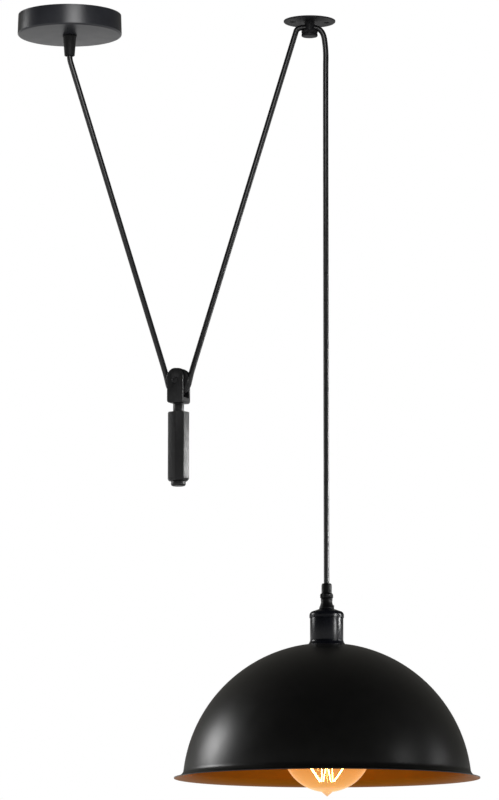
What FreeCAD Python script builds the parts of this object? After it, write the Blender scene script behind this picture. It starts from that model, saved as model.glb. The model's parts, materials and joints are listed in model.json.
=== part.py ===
import FreeCAD, Part
import Sketcher
import math
import os

# Rise and fall pendant, in millimetres.  Z is up and the ceiling is z = 0.  The origin is the
# middle of the ceiling bracket, and X runs from the rose to the lamp.  The cord leaves the rose,
# goes down round the wheel of the counterweight, up to the ceiling guide and down to the lamp.

doc = FreeCAD.newDocument("rise_and_fall_pendant")
sheet = doc.addObject("Spreadsheet::Sheet", "sizes")

# The sizes that set the whole lamp.
ROSE_DIAMETER = 121.0
ROSE_TO_LAMP = 299.1
LAMP_HANGS_BELOW = 660.4
SHADE_DIAMETER = 350.0

DRIVING_SIZES = {
    "cord": (
        ("cordDiameter", 6.5, "round black flex"),
        ("coreDiameter", 2.2, "one insulated core of the flex"),
        ("coreSpread", 1.35, "cores from the middle of the flex"),
        ("cordBore", 7.2, "bore that the flex passes through"),
        ("coreRise", 4.5, "cores straight up out of the sheath"),
        ("coreReach", 9.0, "cores beside the terminal block"),
        ("coreRun", 12.0, "cores before they turn into the block"),
        ("coreStop", 1.0, "cores' ends from the middle of the block"),
        ("earthRun", 8.0, "earth core before the tag"),
        ("swingGap", 0.6, "gap between cord ends where a hanging part swings"),
    ),
    "rose": (
        ("canopyDiameter", ROSE_DIAMETER, "lower edge of the canopy"),
        ("canopyTaper", 0.7, "how far the side leans in up to the ceiling"),
        ("canopyHeight", 24.0, ""),
        ("canopyWall", 1.2, ""),
        ("canopyEdgeRound", 2.2, "outer round of the lower edge"),
        ("canopyEarGap", 1.3, "between the canopy and the bracket's ears"),
        ("strapWidth", 20.0, ""),
        ("strapThick", 2.0, ""),
        ("earDepth", 17.0, "how far the ears hang below the ceiling"),
        ("wireHole", 15.0, "hole for the supply wires"),
        ("slotPitch", 51.0, "between the two ceiling screw slots"),
        ("slotLength", 10.0, "between the ends' centres"),
        ("slotWidth", 4.5, ""),
        ("grubHeight", 10.0, "canopy screws below the ceiling"),
        ("grubDiameter", 4.0, ""),
        ("grubLength", 6.0, ""),
        ("grubClearance", 0.3, "canopy hole over the screw"),
        ("blockInside", 12.3, "terminal block's middle inside the ear"),
        ("blockLength", 18.0, ""),
        ("blockWidth", 14.0, ""),
        ("blockHeight", 10.0, ""),
        ("polePitch", 9.0, ""),
        ("poleDrop", 4.6, "terminal bore above the block's lower face"),
        ("tubeOuter", 4.4, ""),
        ("tubeBore", 2.7, ""),
        ("tubeLength", 12.0, ""),
        ("poleScrewDiameter", 2.6, ""),
        ("blockScrewDiameter", 3.0, ""),
        ("blockScrewHead", 5.2, ""),
        ("blockScrewHeadHeight", 1.8, ""),
        ("earthInside", 15.3, "earth screw inside the other ear"),
        ("earthDiameter", 4.0, ""),
        ("earthHead", 7.2, ""),
        ("earthHeadHeight", 2.4, ""),
        ("tagDiameter", 9.0, ""),
        ("tagThick", 0.8, ""),
        ("tagBarrelLength", 7.0, ""),
    ),
    "rose grip": (
        ("gripTopDiameter", 15.2, ""),
        ("gripBottomDiameter", 11.9, ""),
        ("gripLength", 24.2, ""),
        ("gripFlangeDiameter", 16.6, ""),
        ("gripFlangeHeight", 1.8, ""),
        ("gripThread", 10.0, "thread through the canopy"),
        ("gripThreadLength", 7.0, "thread above the canopy's outer face"),
        ("gripBend", 30.0, "radius of the flex below the grip"),
        ("gripMouth", 9.6, "flare at the lower end of the bore"),
        ("gripMouthDepth", 5.0, ""),
        ("gripEdge", 0.6, "chamfer of the lower edge"),
        ("gripNutFlats", 14.0, ""),
        ("gripNutHeight", 3.2, ""),
        ("gripScrewDiameter", 3.0, ""),
        ("gripScrewDrop", 9.0, "below the canopy"),
        ("sheathAbove", 8.5, "flex sheath above the canopy's outer face"),
        ("swingInside", 3.4, "swing line above the end of the grip"),
        ("bendBelow", 3.5, "corner of the flex below the end of the grip"),
    ),
    "guide": (
        ("guideBefore", 18.5, "guide's middle before the lamp's axis"),
        ("plateDiameter", 60.5, ""),
        ("plateThick", 1.6, ""),
        ("plateEdge", 0.6, "chamfer of the lower edge"),
        ("plateHolePitch", 40.0, ""),
        ("plateHole", 4.4, ""),
        ("plateSink", 7.6, "mouth of the countersinks"),
        ("plateSinkDepth", 1.0, ""),
        ("postDiameter", 11.8, ""),
        ("postLength", 15.4, ""),
        ("cordDrop", 7.9, "cord's middle below the ceiling"),
        ("slotSlack", 0.7, "slot in the post wider than the cord"),
        ("swingInPost", 1.5, "swing lines inside the post's sides"),
        ("guideNutDiameter", 19.0, ""),
        ("guideNutHeight", 7.0, ""),
        ("guideNutFloor", 1.6, ""),
        ("guideNutEdge", 1.6, "round of the lower edge"),
        ("guideNutGroove", 1.3, "width of the groove round the nut"),
        ("guideNutGrooveDepth", 0.7, ""),
        ("guideNutSlack", 0.65, "nut below the cord"),
        ("postScrewDiameter", 4.0, ""),
        ("postScrewHead", 7.0, ""),
        ("postScrewLength", 2.6, "into the post"),
    ),
    "counterweight": (
        ("weightShare", 0.4805, "counterweight's place between the rose and the guide"),
        ("axleDrop", 427.6, "axle below the ceiling"),
        ("forkTurn", 30.4, "fork turned away from the plane of the cord, degrees"),
        ("pitchRadius", 13.7, "middle of the cord round the wheel"),
        ("wheelRadius", 14.5, ""),
        ("wheelWidth", 11.0, ""),
        ("hubDiameter", 15.0, ""),
        ("hubWidth", 13.0, ""),
        ("wheelEdge", 0.7, ""),
        ("grooveSlack", 0.3, "between the cord and the groove"),
        ("straightOff", 13.0, "straight cord off the wheel, to the corner"),
        ("bushDiameter", 8.4, ""),
        ("bushWall", 1.4, ""),
        ("washerDiameter", 11.0, ""),
        ("washerThick", 0.5, ""),
        ("forkWidth", 19.8, ""),
        ("forkDepth", 21.0, ""),
        ("forkPlate", 3.2, ""),
        ("forkAbove", 13.8, "top of the fork above the axle"),
        ("forkBelow", 26.3, "foot of the fork below the axle"),
        ("forkWeb", 6.4, ""),
        ("forkCorner", 3.0, "round of the fork's lower corners"),
        ("forkEdge", 0.5, ""),
        ("axleHead", 7.0, ""),
        ("axleHeadHeight", 1.2, ""),
        ("axleSocket", 3.4, "hexagon socket across flats"),
        ("axleSocketDepth", 0.9, ""),
        ("axleScrewDiameter", 3.0, ""),
        ("axleScrewLength", 10.0, "bore of the axle's sleeve"),
        ("axleEndGap", 0.5, "screw short of the bore's end"),
        ("stemDiameter", 12.6, ""),
        ("stemLength", 10.4, "between the fork and the weight"),
        ("stemThread", 8.0, ""),
        ("stemInWeight", 16.0, ""),
        ("weightFlats", 23.8, "octagonal bar across flats"),
        ("weightLength", 80.0, ""),
        ("weightFootRound", 3.6, ""),
        ("plugDiameter", 17.0, ""),
        ("plugHeight", 5.5, "below the weight"),
        ("plugRound", 2.2, ""),
        ("plugThread", 8.0, ""),
        ("plugInWeight", 12.0, ""),
    ),
    "drop": (
        ("lampAt", ROSE_TO_LAMP, "lamp's axis from the origin"),
        ("leftCornerOff", 14.4, "corner of the cord left of the guide's middle"),
        ("leftBend", 10.0, "radius of the cord over the guide's left mouth"),
        ("rightCornerOff", 15.6, "corner of the cord right of the guide's middle"),
        ("rightBend", 10.0, "radius of the cord over the guide's right mouth"),
        ("bulgeOut", 1.0, "the cord swells out before it hangs plumb"),
        ("bulgeDrop", 35.7, ""),
        ("plumbDrop", 61.5, "the cord hangs plumb from here"),
    ),
    "lamp grip": (
        ("lampGripTop", LAMP_HANGS_BELOW, "top of the lamp below the ceiling"),
        ("gripCapTopDiameter", 9.5, ""),
        ("gripCapDiameter", 11.8, ""),
        ("gripCapRound", 3.2, ""),
        ("gripCapHeight", 11.4, "down to the nut"),
        ("lampNutDiameter", 15.0, ""),
        ("lampNutHeight", 6.4, ""),
        ("lampNutRound", 1.3, ""),
        ("lampNeckTop", 13.6, ""),
        ("lampNeckBottom", 13.0, ""),
        ("lampNeckHeight", 4.0, ""),
        ("lampFlareDiameter", 17.1, ""),
        ("lampFlareHeight", 7.6, ""),
        ("lampThread", 10.0, ""),
        ("lampThreadLength", 7.0, "below the cap's top"),
        ("capNutHeight", 3.0, ""),
        ("capNutFlats", 14.0, ""),
        ("sealLength", 7.0, ""),
        ("sealOuter", 9.0, ""),
        ("sealPinch", 0.2, "seal's bore under the flex's bore, on the radius"),
        ("lampScrewDiameter", 3.0, ""),
        ("lampScrewHeight", 3.0, "above the holder's cap"),
        ("lampSheathPast", 1.5, "flex sheath past the grip's thread"),
        ("lampCoreRun", 5.0, "cores straight down out of the sheath"),
        ("lampCoreApart", 2.5, "each core out to its side"),
        ("lampCoreTurn", 6.5, "cores' last turn above the core block"),
        ("lampCoreLift", 0.1, "cores above the core block"),
    ),
    "holder": (
        ("capHeight", 10.2, ""),
        ("capDiameter", 39.7, ""),
        ("capWall", 1.2, ""),
        ("capTopRadius", 15.5, "where the cap starts to curve down"),
        ("capTopFall", 2.5, ""),
        ("cupDiameter", 38.2, ""),
        ("cupWall", 1.2, ""),
        ("cupHeight", 25.9, ""),
        ("cupOverlap", 2.6, "cup's rim inside the cap"),
        ("cupSlack", 0.15, ""),
        ("collarHeight", 5.4, "between the cup and the shade"),
        ("collarNeckHeight", 0.8, ""),
        ("collarFoot", 43.6, ""),
        ("collarSeam", 0.5, "dark line between the cup and the collar"),
        ("skirtOuter", 37.0, ""),
        ("skirtWall", 2.4, ""),
        ("skirtBelow", 24.0, "below the shade's top"),
        ("skirtAbove", 10.0, "above the shade's top"),
        ("coreHeight", 12.0, ""),
        ("coreAbove", 3.6, "contact side of the core above the shade's top"),
        ("coreSlack", 0.2, ""),
        ("shellOuter", 28.6, ""),
        ("shellWall", 0.4, ""),
        ("shellLength", 22.0, ""),
        ("contactThick", 0.6, ""),
        ("contactWidth", 5.0, ""),
        ("contactReach", 9.0, ""),
        ("contactFall", 2.6, ""),
        ("terminalScrewPitch", 18.0, ""),
        ("terminalScrewDiameter", 3.5, ""),
        ("terminalScrewHeight", 3.0, ""),
        ("ringOuter", 44.0, ""),
        ("ringHeight", 7.0, ""),
        ("ringFlange", 2.0, ""),
        ("ringBody", 41.0, ""),
    ),
    "shade": (
        ("domeShare", 0.472, "outer radius of the dome to the lip's diameter"),
        ("crownAngle", 9.41, "half angle of the dome's missing crown, degrees"),
        ("shoulderAngle", 12.0, "where the dome turns into the shoulder, degrees"),
        ("flatRadius", 22.0, "flat top of the shade"),
        ("shadeHole", 37.4, ""),
        ("shadeWall", 1.0, ""),
        ("lipDiameter", SHADE_DIAMETER, ""),
        ("lipAboveCentre", 11.3, "lower edge above the dome's centre"),
        ("lipRise", 8.6, "where the lip starts above the lower edge"),
        ("lipCurl", 16.0, "radius of the flared lip"),
    ),
    "bulb": (
        ("bulbTip", 173.6, "tip of the bulb below the shade's top"),
        ("globeRadius", 52.0, ""),
        ("nippleHeight", 5.2, ""),
        ("nippleAngle", 7.0, "half angle of the tip's point on the globe, degrees"),
        ("neckJoinAngle", 142.0, "where the globe turns into the neck, degrees from the tip"),
        ("glassWall", 0.9, ""),
        ("neckRadius", 15.0, "glass neck below the cap"),
        ("neckCurve", 62.0, "hollow curve between the neck and the globe"),
        ("capRadius", 13.3, "screw cap of the bulb"),
        ("capLength", 22.0, ""),
        ("capPitch", 3.6, ""),
        ("threadDepth", 0.9, ""),
        ("capTopDrop", 4.7, "top of the screw cap below the shade's top"),
        ("insulatorHeight", 3.4, ""),
        ("insulatorTop", 5.5, "radius"),
        ("tipContactRadius", 4.6, ""),
        ("tipContactHeight", 1.4, ""),
        ("stemGlassRadius", 5.5, ""),
        ("stemFlare", 12.0, ""),
        ("stemGlassLength", 30.0, ""),
        ("wireDiameter", 0.8, ""),
        ("filamentDiameter", 1.0, ""),
        ("filamentTop", 118.7, "upper filament hooks below the shade's top"),
        ("filamentFoot", 156.7, "lower filament hooks below the shade's top"),
        ("filamentSpread", 34.0, "upper hooks from the axis"),
        ("filamentFootSpread", 9.0, "lower hooks from the axis"),
        ("hookSpread", 1.5, "each filament's end from the middle of its hook"),
        ("filamentGap", 0.6, "between a filament and its hook"),
        ("postBelow", 2.0, "middle post below the lower hooks"),
    ),
}
HOOKS = 4  # upper hooks of the bulb, and as many lower ones between them
BEND_SHARE = 0.45  # of the shorter run beside a corner of a cord


class Size:
    """A length that carries both its value and the words that bind it to the sheet."""

    def __init__(self, value, text):
        self.value = value
        self.text = text

    def _with(self, other, sign, result):
        other = other if isinstance(other, Size) else Size(float(other), repr(float(other)))
        return Size(result(self.value, other.value), "(%s %s %s)" % (self.text, sign, other.text))

    def __add__(self, other):
        return self._with(other, "+", lambda a, b: a + b)

    def __sub__(self, other):
        return self._with(other, "-", lambda a, b: a - b)

    def __mul__(self, other):
        return self._with(other, "*", lambda a, b: a * b)

    def __truediv__(self, other):
        return self._with(other, "/", lambda a, b: a / b)

    def __neg__(self):
        return Size(-self.value, "(0 - %s)" % self.text)


class Sizes:
    """Every driving size of the sheet, by its alias."""


def fill_sheet():
    row = 1
    found = Sizes()
    for group, rows in DRIVING_SIZES.items():
        sheet.set("A%d" % row, group)
        row += 1
        for alias, value, note in rows:
            sheet.set("A%d" % row, alias)
            sheet.set("B%d" % row, str(value))
            sheet.set("C%d" % row, note)
            sheet.setAlias("B%d" % row, alias)
            row += 1
    doc.recompute()
    for rows in DRIVING_SIZES.values():
        for alias, value, note in rows:
            setattr(found, alias, Size(float(sheet.get(alias)), "sizes." + alias))
    return found


s = fill_sheet()
NONE = Size(0.0, "0")
SUBPARTS = []


def bind(target, prop, size):
    target.setExpression(prop, size.text)


def place(target, at):
    for axis, size in zip("xyz", at):
        if size is not NONE:
            bind(target, "Placement.Base." + axis, size)


def as_subpart(target, name):
    target.Label = name
    SUBPARTS.append(target)
    return target


# ---- sketched bodies -------------------------------------------------------------------------


def new_body(name, at=(NONE, NONE, NONE), turn=0.0):
    body = doc.addObject("PartDesign::Body", name)
    body.Placement.Rotation = FreeCAD.Rotation(FreeCAD.Vector(0, 0, 1), turn)
    place(body, at)
    return as_subpart(body, name)


def origin_plane(body, role):
    return next(feature for feature in body.Origin.OriginFeatures if feature.Role == role)


def new_sketch(body, role, height=NONE):
    sketch = body.newObject("Sketcher::SketchObject", body.Name + "_sketch")
    sketch.AttachmentSupport = [(origin_plane(body, role), "")]
    sketch.MapMode = "FlatFace"
    if height is not NONE:
        bind(sketch, "AttachmentOffset.Base.z", height)
    return sketch


def fix_point(sketch, geometry, end, point):
    """Ties one end of a sketch line or arc to the sheet."""
    for kind, axis, size in (("DistanceX", -2, point[0]), ("DistanceY", -1, point[1])):
        if size is NONE:
            sketch.addConstraint(Sketcher.Constraint("PointOnObject", geometry, end, axis))
        else:
            rule = Sketcher.Constraint(kind, -1, 1, geometry, end, size.value)
            bind(sketch, "Constraints[%d]" % sketch.addConstraint(rule), size)


def arc_between(start, end, radius, left):
    """An arc from start to end; its middle lies left or right of the way from start to end."""
    ax, ay = start[0].value, start[1].value
    bx, by = end[0].value, end[1].value
    half = math.hypot(bx - ax, by - ay) / 2
    rise = math.sqrt(max(radius.value ** 2 - half ** 2, 0.0))
    side = 1 if left else -1
    cx = (ax + bx) / 2 - side * rise * (by - ay) / (2 * half)
    cy = (ay + by) / 2 + side * rise * (bx - ax) / (2 * half)
    first = math.atan2(ay - cy, ax - cx)
    last = math.atan2(by - cy, bx - cx)
    circle = Part.Circle(FreeCAD.Vector(cx, cy, 0), FreeCAD.Vector(0, 0, 1), radius.value)
    if left:
        return Part.ArcOfCircle(circle, first, last), 1, 2
    return Part.ArcOfCircle(circle, last, first), 2, 1


def draw_outline(sketch, outline):
    """Draws a closed outline.  Between two points stands nothing, or (radius, 'left'/'right')."""
    points = [entry for entry in outline if isinstance(entry[0], Size) and isinstance(entry[1], Size)]
    arcs = {}
    count = 0
    for entry in outline:
        if isinstance(entry[1], str):
            arcs[count - 1] = entry
        else:
            count += 1
    drawn = []
    for index, point in enumerate(points):
        after = points[(index + 1) % len(points)]
        if index in arcs:
            radius, side = arcs[index]
            arc, start, end = arc_between(point, after, radius, side == "left")
            number = sketch.addGeometry(arc, False)
            rule = Sketcher.Constraint("Radius", number, radius.value)
            bind(sketch, "Constraints[%d]" % sketch.addConstraint(rule), radius)
        else:
            ends = [FreeCAD.Vector(p[0].value, p[1].value, 0) for p in (point, after)]
            number = sketch.addGeometry(Part.LineSegment(*ends), False)
            start, end = 1, 2
        drawn.append((number, start, end))
    for index, (number, start, end) in enumerate(drawn):
        after = drawn[(index + 1) % len(drawn)]
        sketch.addConstraint(Sketcher.Constraint("Coincident", number, end, after[0], after[1]))
        fix_point(sketch, number, start, points[index])


def draw_circles(sketch, centres, radius):
    for centre in centres:
        middle = FreeCAD.Vector(centre[0].value, centre[1].value, 0)
        circle = Part.Circle(middle, FreeCAD.Vector(0, 0, 1), radius.value)
        number = sketch.addGeometry(circle, False)
        rule = Sketcher.Constraint("Radius", number, radius.value)
        bind(sketch, "Constraints[%d]" % sketch.addConstraint(rule), radius)
        fix_point(sketch, number, 3, centre)


def revolve(body, outline, kind="PartDesign::Revolution"):
    """Turns an outline of (radius, height) points round the body's Z axis."""
    sketch = new_sketch(body, "XZ_Plane")
    draw_outline(sketch, outline)
    turned = body.newObject(kind, body.Name + "_turned")
    turned.Profile = sketch
    turned.ReferenceAxis = (sketch, ["V_Axis"])
    turned.Angle = 360
    doc.recompute()
    return turned


def turned_body(name, outline, at=(NONE, NONE, NONE), turn=0.0):
    body = new_body(name, at, turn)
    revolve(body, outline)
    return body


def pad(body, role, outline, length, centred=True, height=NONE):
    sketch = new_sketch(body, role, height)
    draw_outline(sketch, outline)
    feature = body.newObject("PartDesign::Pad", body.Name + "_pad")
    feature.Profile = sketch
    bind(feature, "Length", length)
    if centred:
        feature.SideType = "Symmetric"
    doc.recompute()
    return feature


def drill(body, role, centres, radius, reach):
    """Cuts round holes through the body, half the reach each side of the plane."""
    before = body.Shape.Volume
    sketch = new_sketch(body, role)
    draw_circles(sketch, centres, radius)
    feature = body.newObject("PartDesign::Pocket", body.Name + "_hole")
    feature.Profile = sketch
    feature.SideType = "Symmetric"
    bind(feature, "Length", reach)
    doc.recompute()
    if body.Shape.Volume > before - 1e-6:
        raise ValueError(body.Name + ": a hole cuts nothing")
    return feature


def pocket(body, role, outline, reach):
    before = body.Shape.Volume
    sketch = new_sketch(body, role)
    draw_outline(sketch, outline)
    feature = body.newObject("PartDesign::Pocket", body.Name + "_pocket")
    feature.Profile = sketch
    feature.SideType = "Symmetric"
    bind(feature, "Length", reach)
    doc.recompute()
    if body.Shape.Volume > before - 1e-6:
        raise ValueError(body.Name + ": a pocket cuts nothing")
    return feature


def edges_where(shape, wanted):
    return ["Edge%d" % (i + 1) for i, edge in enumerate(shape.Edges) if wanted(edge)]


def dress(body, kind, size, wanted):
    """Rounds or chamfers the edges of the body's last feature that fit."""
    base = body.Tip
    feature = body.newObject("PartDesign::" + kind, body.Name + "_" + kind.lower())
    feature.Base = (base, edges_where(base.Shape, wanted))
    bind(feature, "Radius" if kind == "Fillet" else "Size", size)
    doc.recompute()
    return feature


# ---- primitives and booleans -----------------------------------------------------------------


TURNS = {
    "z": FreeCAD.Rotation(),
    "x": FreeCAD.Rotation(FreeCAD.Vector(0, 1, 0), 90),
    "y": FreeCAD.Rotation(FreeCAD.Vector(1, 0, 0), -90),
}


def cylinder(name, radius, height, at, along="z"):
    made = doc.addObject("Part::Cylinder", name)
    made.Placement.Rotation = TURNS[along]
    bind(made, "Radius", radius)
    bind(made, "Height", height)
    place(made, at)
    return made


def cone(name, low, high, height, at):
    made = doc.addObject("Part::Cone", name)
    bind(made, "Radius1", low)
    bind(made, "Radius2", high)
    bind(made, "Height", height)
    place(made, at)
    return made


def box(name, length, width, height, at):
    """A box with at in the middle of its lower face."""
    made = doc.addObject("Part::Box", name)
    bind(made, "Length", length)
    bind(made, "Width", width)
    bind(made, "Height", height)
    place(made, (at[0] - length / 2, at[1] - width / 2, at[2]))
    return made


def hexagon(name, flats, height, at):
    made = doc.addObject("Part::Prism", name)
    made.Polygon = 6
    bind(made, "Circumradius", flats / math.sqrt(3))
    bind(made, "Height", height)
    place(made, at)
    return made


def fuse(name, parts):
    made = doc.addObject("Part::MultiFuse", name)
    made.Shapes = parts
    return made


def cut(name, base, tools):
    made = doc.addObject("Part::Cut", name)
    made.Base = base
    made.Tool = tools[0] if len(tools) == 1 else fuse(name + "_tools", tools)
    return made


def group(name, parts):
    """Separate solids of one kind in one node."""
    made = doc.addObject("Part::Compound", name)
    made.Links = parts
    return as_subpart(made, name)


def ring(name, outer, inner, height, at, along="z"):
    return cut(
        name,
        cylinder(name + "_disc", outer, height, at, along),
        [cylinder(name + "_bore", inner, height, at, along)],
    )


# ---- cords and wires -------------------------------------------------------------------------


def vector(x, y, z):
    return FreeCAD.Vector(x, y, z)


def corner_radius(points, index, radii):
    """Radius at a corner: the one that is given, or the largest that its two runs allow."""
    before = points[index] - points[index - 1]
    after = points[index + 1] - points[index]
    turn = before.getAngle(after)
    if index in radii:
        return radii[index], turn
    return BEND_SHARE * min(before.Length, after.Length) / math.tan(turn / 2), turn


def route_edges(points, radii):
    """Straight runs joined by tangent arcs; the edges and the radii of the arcs."""
    edges = []
    made = []
    start = points[0]
    for index in range(1, len(points) - 1):
        corner = points[index]
        radius, turn = corner_radius(points, index, radii)
        setback = radius * math.tan(turn / 2)
        back = (points[index - 1] - corner).normalize()
        ahead = (points[index + 1] - corner).normalize()
        first = corner + back * setback
        last = corner + ahead * setback
        bisector = (back + ahead).normalize()
        reach = math.hypot(radius, setback) - radius
        if (first - start).Length > 1e-4:
            edges.append(Part.LineSegment(start, first).toShape())
        edges.append(Part.Arc(first, corner + bisector * reach, last).toShape())
        made.append(round(radius, 1))
        start = last
    if (points[-1] - start).Length > 1e-4:
        edges.append(Part.LineSegment(start, points[-1]).toShape())
    return edges, made


def tube_along(name, edges, diameter, radii):
    """A round tube along the edges, compared with its section times its length."""
    path = Part.Wire(edges)
    start = edges[0].valueAt(edges[0].FirstParameter)
    direction = edges[0].tangentAt(edges[0].FirstParameter)
    section = Part.Wire([Part.Circle(start, direction, diameter / 2).toShape()])
    tube = path.makePipeShell([section], True, False)
    wanted = math.pi * diameter ** 2 / 4 * path.Length
    print(
        "%-18s length %7.1f  volume/ideal %.4f  radii %s"
        % (name, path.Length, tube.Volume / wanted, radii)
    )
    made = doc.addObject("Part::Feature", name)
    made.Shape = tube
    return as_subpart(made, name)


def tube(name, points, diameter, radii=None):
    edges, made = route_edges(points, radii or {})
    return tube_along(name, edges, diameter, made)


# ---- ceiling rose ----------------------------------------------------------------------------


def build_canopy():
    outer = s.canopyDiameter / 2
    top = outer - s.canopyTaper
    wall = s.canopyWall
    bottom = -s.canopyHeight
    bend = s.canopyEdgeRound
    body = turned_body(
        "canopy",
        [
            (top - wall, NONE),
            (top, NONE),
            (outer, bottom + bend),
            (bend, "right"),
            (outer - bend, bottom),
            (s.gripThread / 2, bottom),
            (s.gripThread / 2, bottom + wall),
            (outer - bend, bottom + wall),
            (bend - wall, "left"),
            (outer - wall, bottom + bend),
        ],
    )
    hole = (s.grubDiameter + s.grubClearance) / 2
    drill(body, "YZ_Plane", [(NONE, -s.grubHeight)], hole, s.canopyDiameter * 1.1)


def ear_face():
    """Outer face of the bracket's ears, from the axis."""
    return s.canopyDiameter / 2 - s.canopyTaper - s.canopyWall - s.canopyEarGap


def block_middle():
    return ear_face() - s.blockInside


def earth_at():
    return -(ear_face() - s.earthInside)


def build_bracket():
    outer = ear_face()
    thick = s.strapThick
    body = new_body("ceiling_bracket")
    pad(
        body,
        "XZ_Plane",
        [
            (-outer, NONE),
            (outer, NONE),
            (outer, -s.earDepth),
            (outer - thick, -s.earDepth),
            (outer - thick, -thick),
            (thick - outer, -thick),
            (thick - outer, -s.earDepth),
            (-outer, -s.earDepth),
        ],
        s.strapWidth,
    )
    drill(body, "XY_Plane", [(NONE, NONE)], s.wireHole / 2, thick * 3)
    drill(body, "YZ_Plane", [(NONE, -s.grubHeight)], s.grubDiameter / 2, outer * 2.2)
    for side in (1, -1):
        middle = s.slotPitch / 2 * side
        low, high = middle - s.slotLength / 2, middle + s.slotLength / 2
        half = s.slotWidth / 2
        pocket(body, "XY_Plane", [(low, -half), (high, -half), (high, half), (low, half)], thick * 3)
        drill(body, "XY_Plane", [(low, NONE), (high, NONE)], half, thick * 3)
    drill(body, "XY_Plane", [(block_middle(), NONE)], s.blockScrewDiameter / 2, thick * 3)
    drill(body, "XY_Plane", [(earth_at(), NONE)], s.earthDiameter / 2, thick * 3)


def build_canopy_screws():
    screws = []
    outside = s.canopyDiameter / 2 - s.canopyTaper / 2
    for side, name in ((1, "right"), (-1, "left")):
        start = outside - s.grubLength if side == 1 else -outside
        at = (start, NONE, -s.grubHeight)
        shank = cylinder("canopy_screw_" + name, s.grubDiameter / 2, s.grubLength, at, "x")
        mouth = outside - s.grubLength / 3 if side == 1 else -outside
        at = (mouth, NONE, -s.grubHeight)
        socket = cylinder("canopy_socket_" + name, s.grubDiameter / 4, s.grubLength / 3, at, "x")
        screws.append(cut("canopy_screw_" + name + "_cut", shank, [socket]))
    group("canopy_screws", screws)


def block_top():
    return -s.strapThick


def pole_places():
    return [block_middle() + s.polePitch / 2 * side for side in (-1, 1)]


def pole_height():
    return block_top() - s.blockHeight + s.poleDrop


def build_terminal_block():
    foot = block_top() - s.blockHeight
    body = box(
        "block_body", s.blockLength, s.blockWidth, s.blockHeight, (block_middle(), NONE, foot)
    )
    bores = []
    tubes = []
    screws = []
    for number, across in enumerate(pole_places(), 1):
        low = -(s.tubeLength / 2)
        at = (across, -(s.blockWidth / 2), pole_height())
        bores.append(cylinder("pole_bore_%d" % number, s.tubeOuter / 2, s.blockWidth, at, "y"))
        shaft = (across, NONE, foot)
        rise = s.poleDrop - s.coreDiameter / 2
        bores.append(cylinder("pole_well_%d" % number, s.poleScrewDiameter / 2, rise, shaft))
        at = (across, low, pole_height())
        sleeve = ring(
            "pole_sleeve_%d" % number, s.tubeOuter / 2, s.tubeBore / 2, s.tubeLength, at, "y"
        )
        well = cylinder("sleeve_well_%d" % number, s.poleScrewDiameter / 2, rise, shaft)
        tubes.append(cut("pole_tube_%d" % number, sleeve, [well]))
        screw = cylinder("pole_screw_%d" % number, s.poleScrewDiameter / 2, rise, shaft)
        slot = box(
            "pole_slot_%d" % number,
            s.poleScrewDiameter,
            s.poleScrewDiameter / 5,
            rise / 5,
            (across, NONE, foot),
        )
        screws.append(cut("pole_screw_cut_%d" % number, screw, [slot]))
    middle = (block_middle(), NONE, foot)
    bores.append(cylinder("block_screw_way", s.blockScrewDiameter / 2, s.blockHeight, middle))
    as_subpart(cut("terminal_block", body, bores), "terminal_block")
    group("terminal_tubes", tubes)
    group("terminal_screws", screws)
    reach = s.blockHeight + s.strapThick
    shank = cylinder("block_screw_shank", s.blockScrewDiameter / 2, reach, middle)
    below = (block_middle(), NONE, foot - s.blockScrewHeadHeight)
    head = cylinder("block_screw_head", s.blockScrewHead / 2, s.blockScrewHeadHeight, below)
    as_subpart(fuse("terminal_block_screw", [shank, head]), "terminal_block_screw")


def build_earth_point():
    under = -s.strapThick
    across = earth_at()
    seat = (across, NONE, under - s.tagThick)
    eye = ring("tag_eye", s.tagDiameter / 2, s.earthDiameter / 2, s.tagThick, seat)
    barrel_outer = s.coreDiameter / 2 + s.tagThick / 2
    start = (across + s.tagDiameter / 2 - s.tagThick, NONE, under - barrel_outer)
    barrel = cylinder("tag_barrel", barrel_outer, s.tagBarrelLength, start, "x")
    bore_start = (start[0] + s.tagThick * 2, NONE, start[2])
    bore = cylinder("tag_bore", s.coreDiameter / 2, s.tagBarrelLength, bore_start, "x")
    as_subpart(cut("earth_tag", fuse("tag_whole", [eye, barrel]), [bore]), "earth_tag")
    shank = cylinder("earth_shank", s.earthDiameter / 2, s.strapThick + s.tagThick, seat)
    head_seat = (across, NONE, under - s.tagThick - s.earthHeadHeight)
    head = cylinder("earth_head", s.earthHead / 2, s.earthHeadHeight, head_seat)
    slot = box("earth_slot", s.earthHead * 1.1, s.tagThick, s.earthHeadHeight / 2, head_seat)
    as_subpart(cut("earth_screw", fuse("earth_whole", [shank, head]), [slot]), "earth_screw")


def grip_end():
    return -s.canopyHeight - s.gripLength


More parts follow.
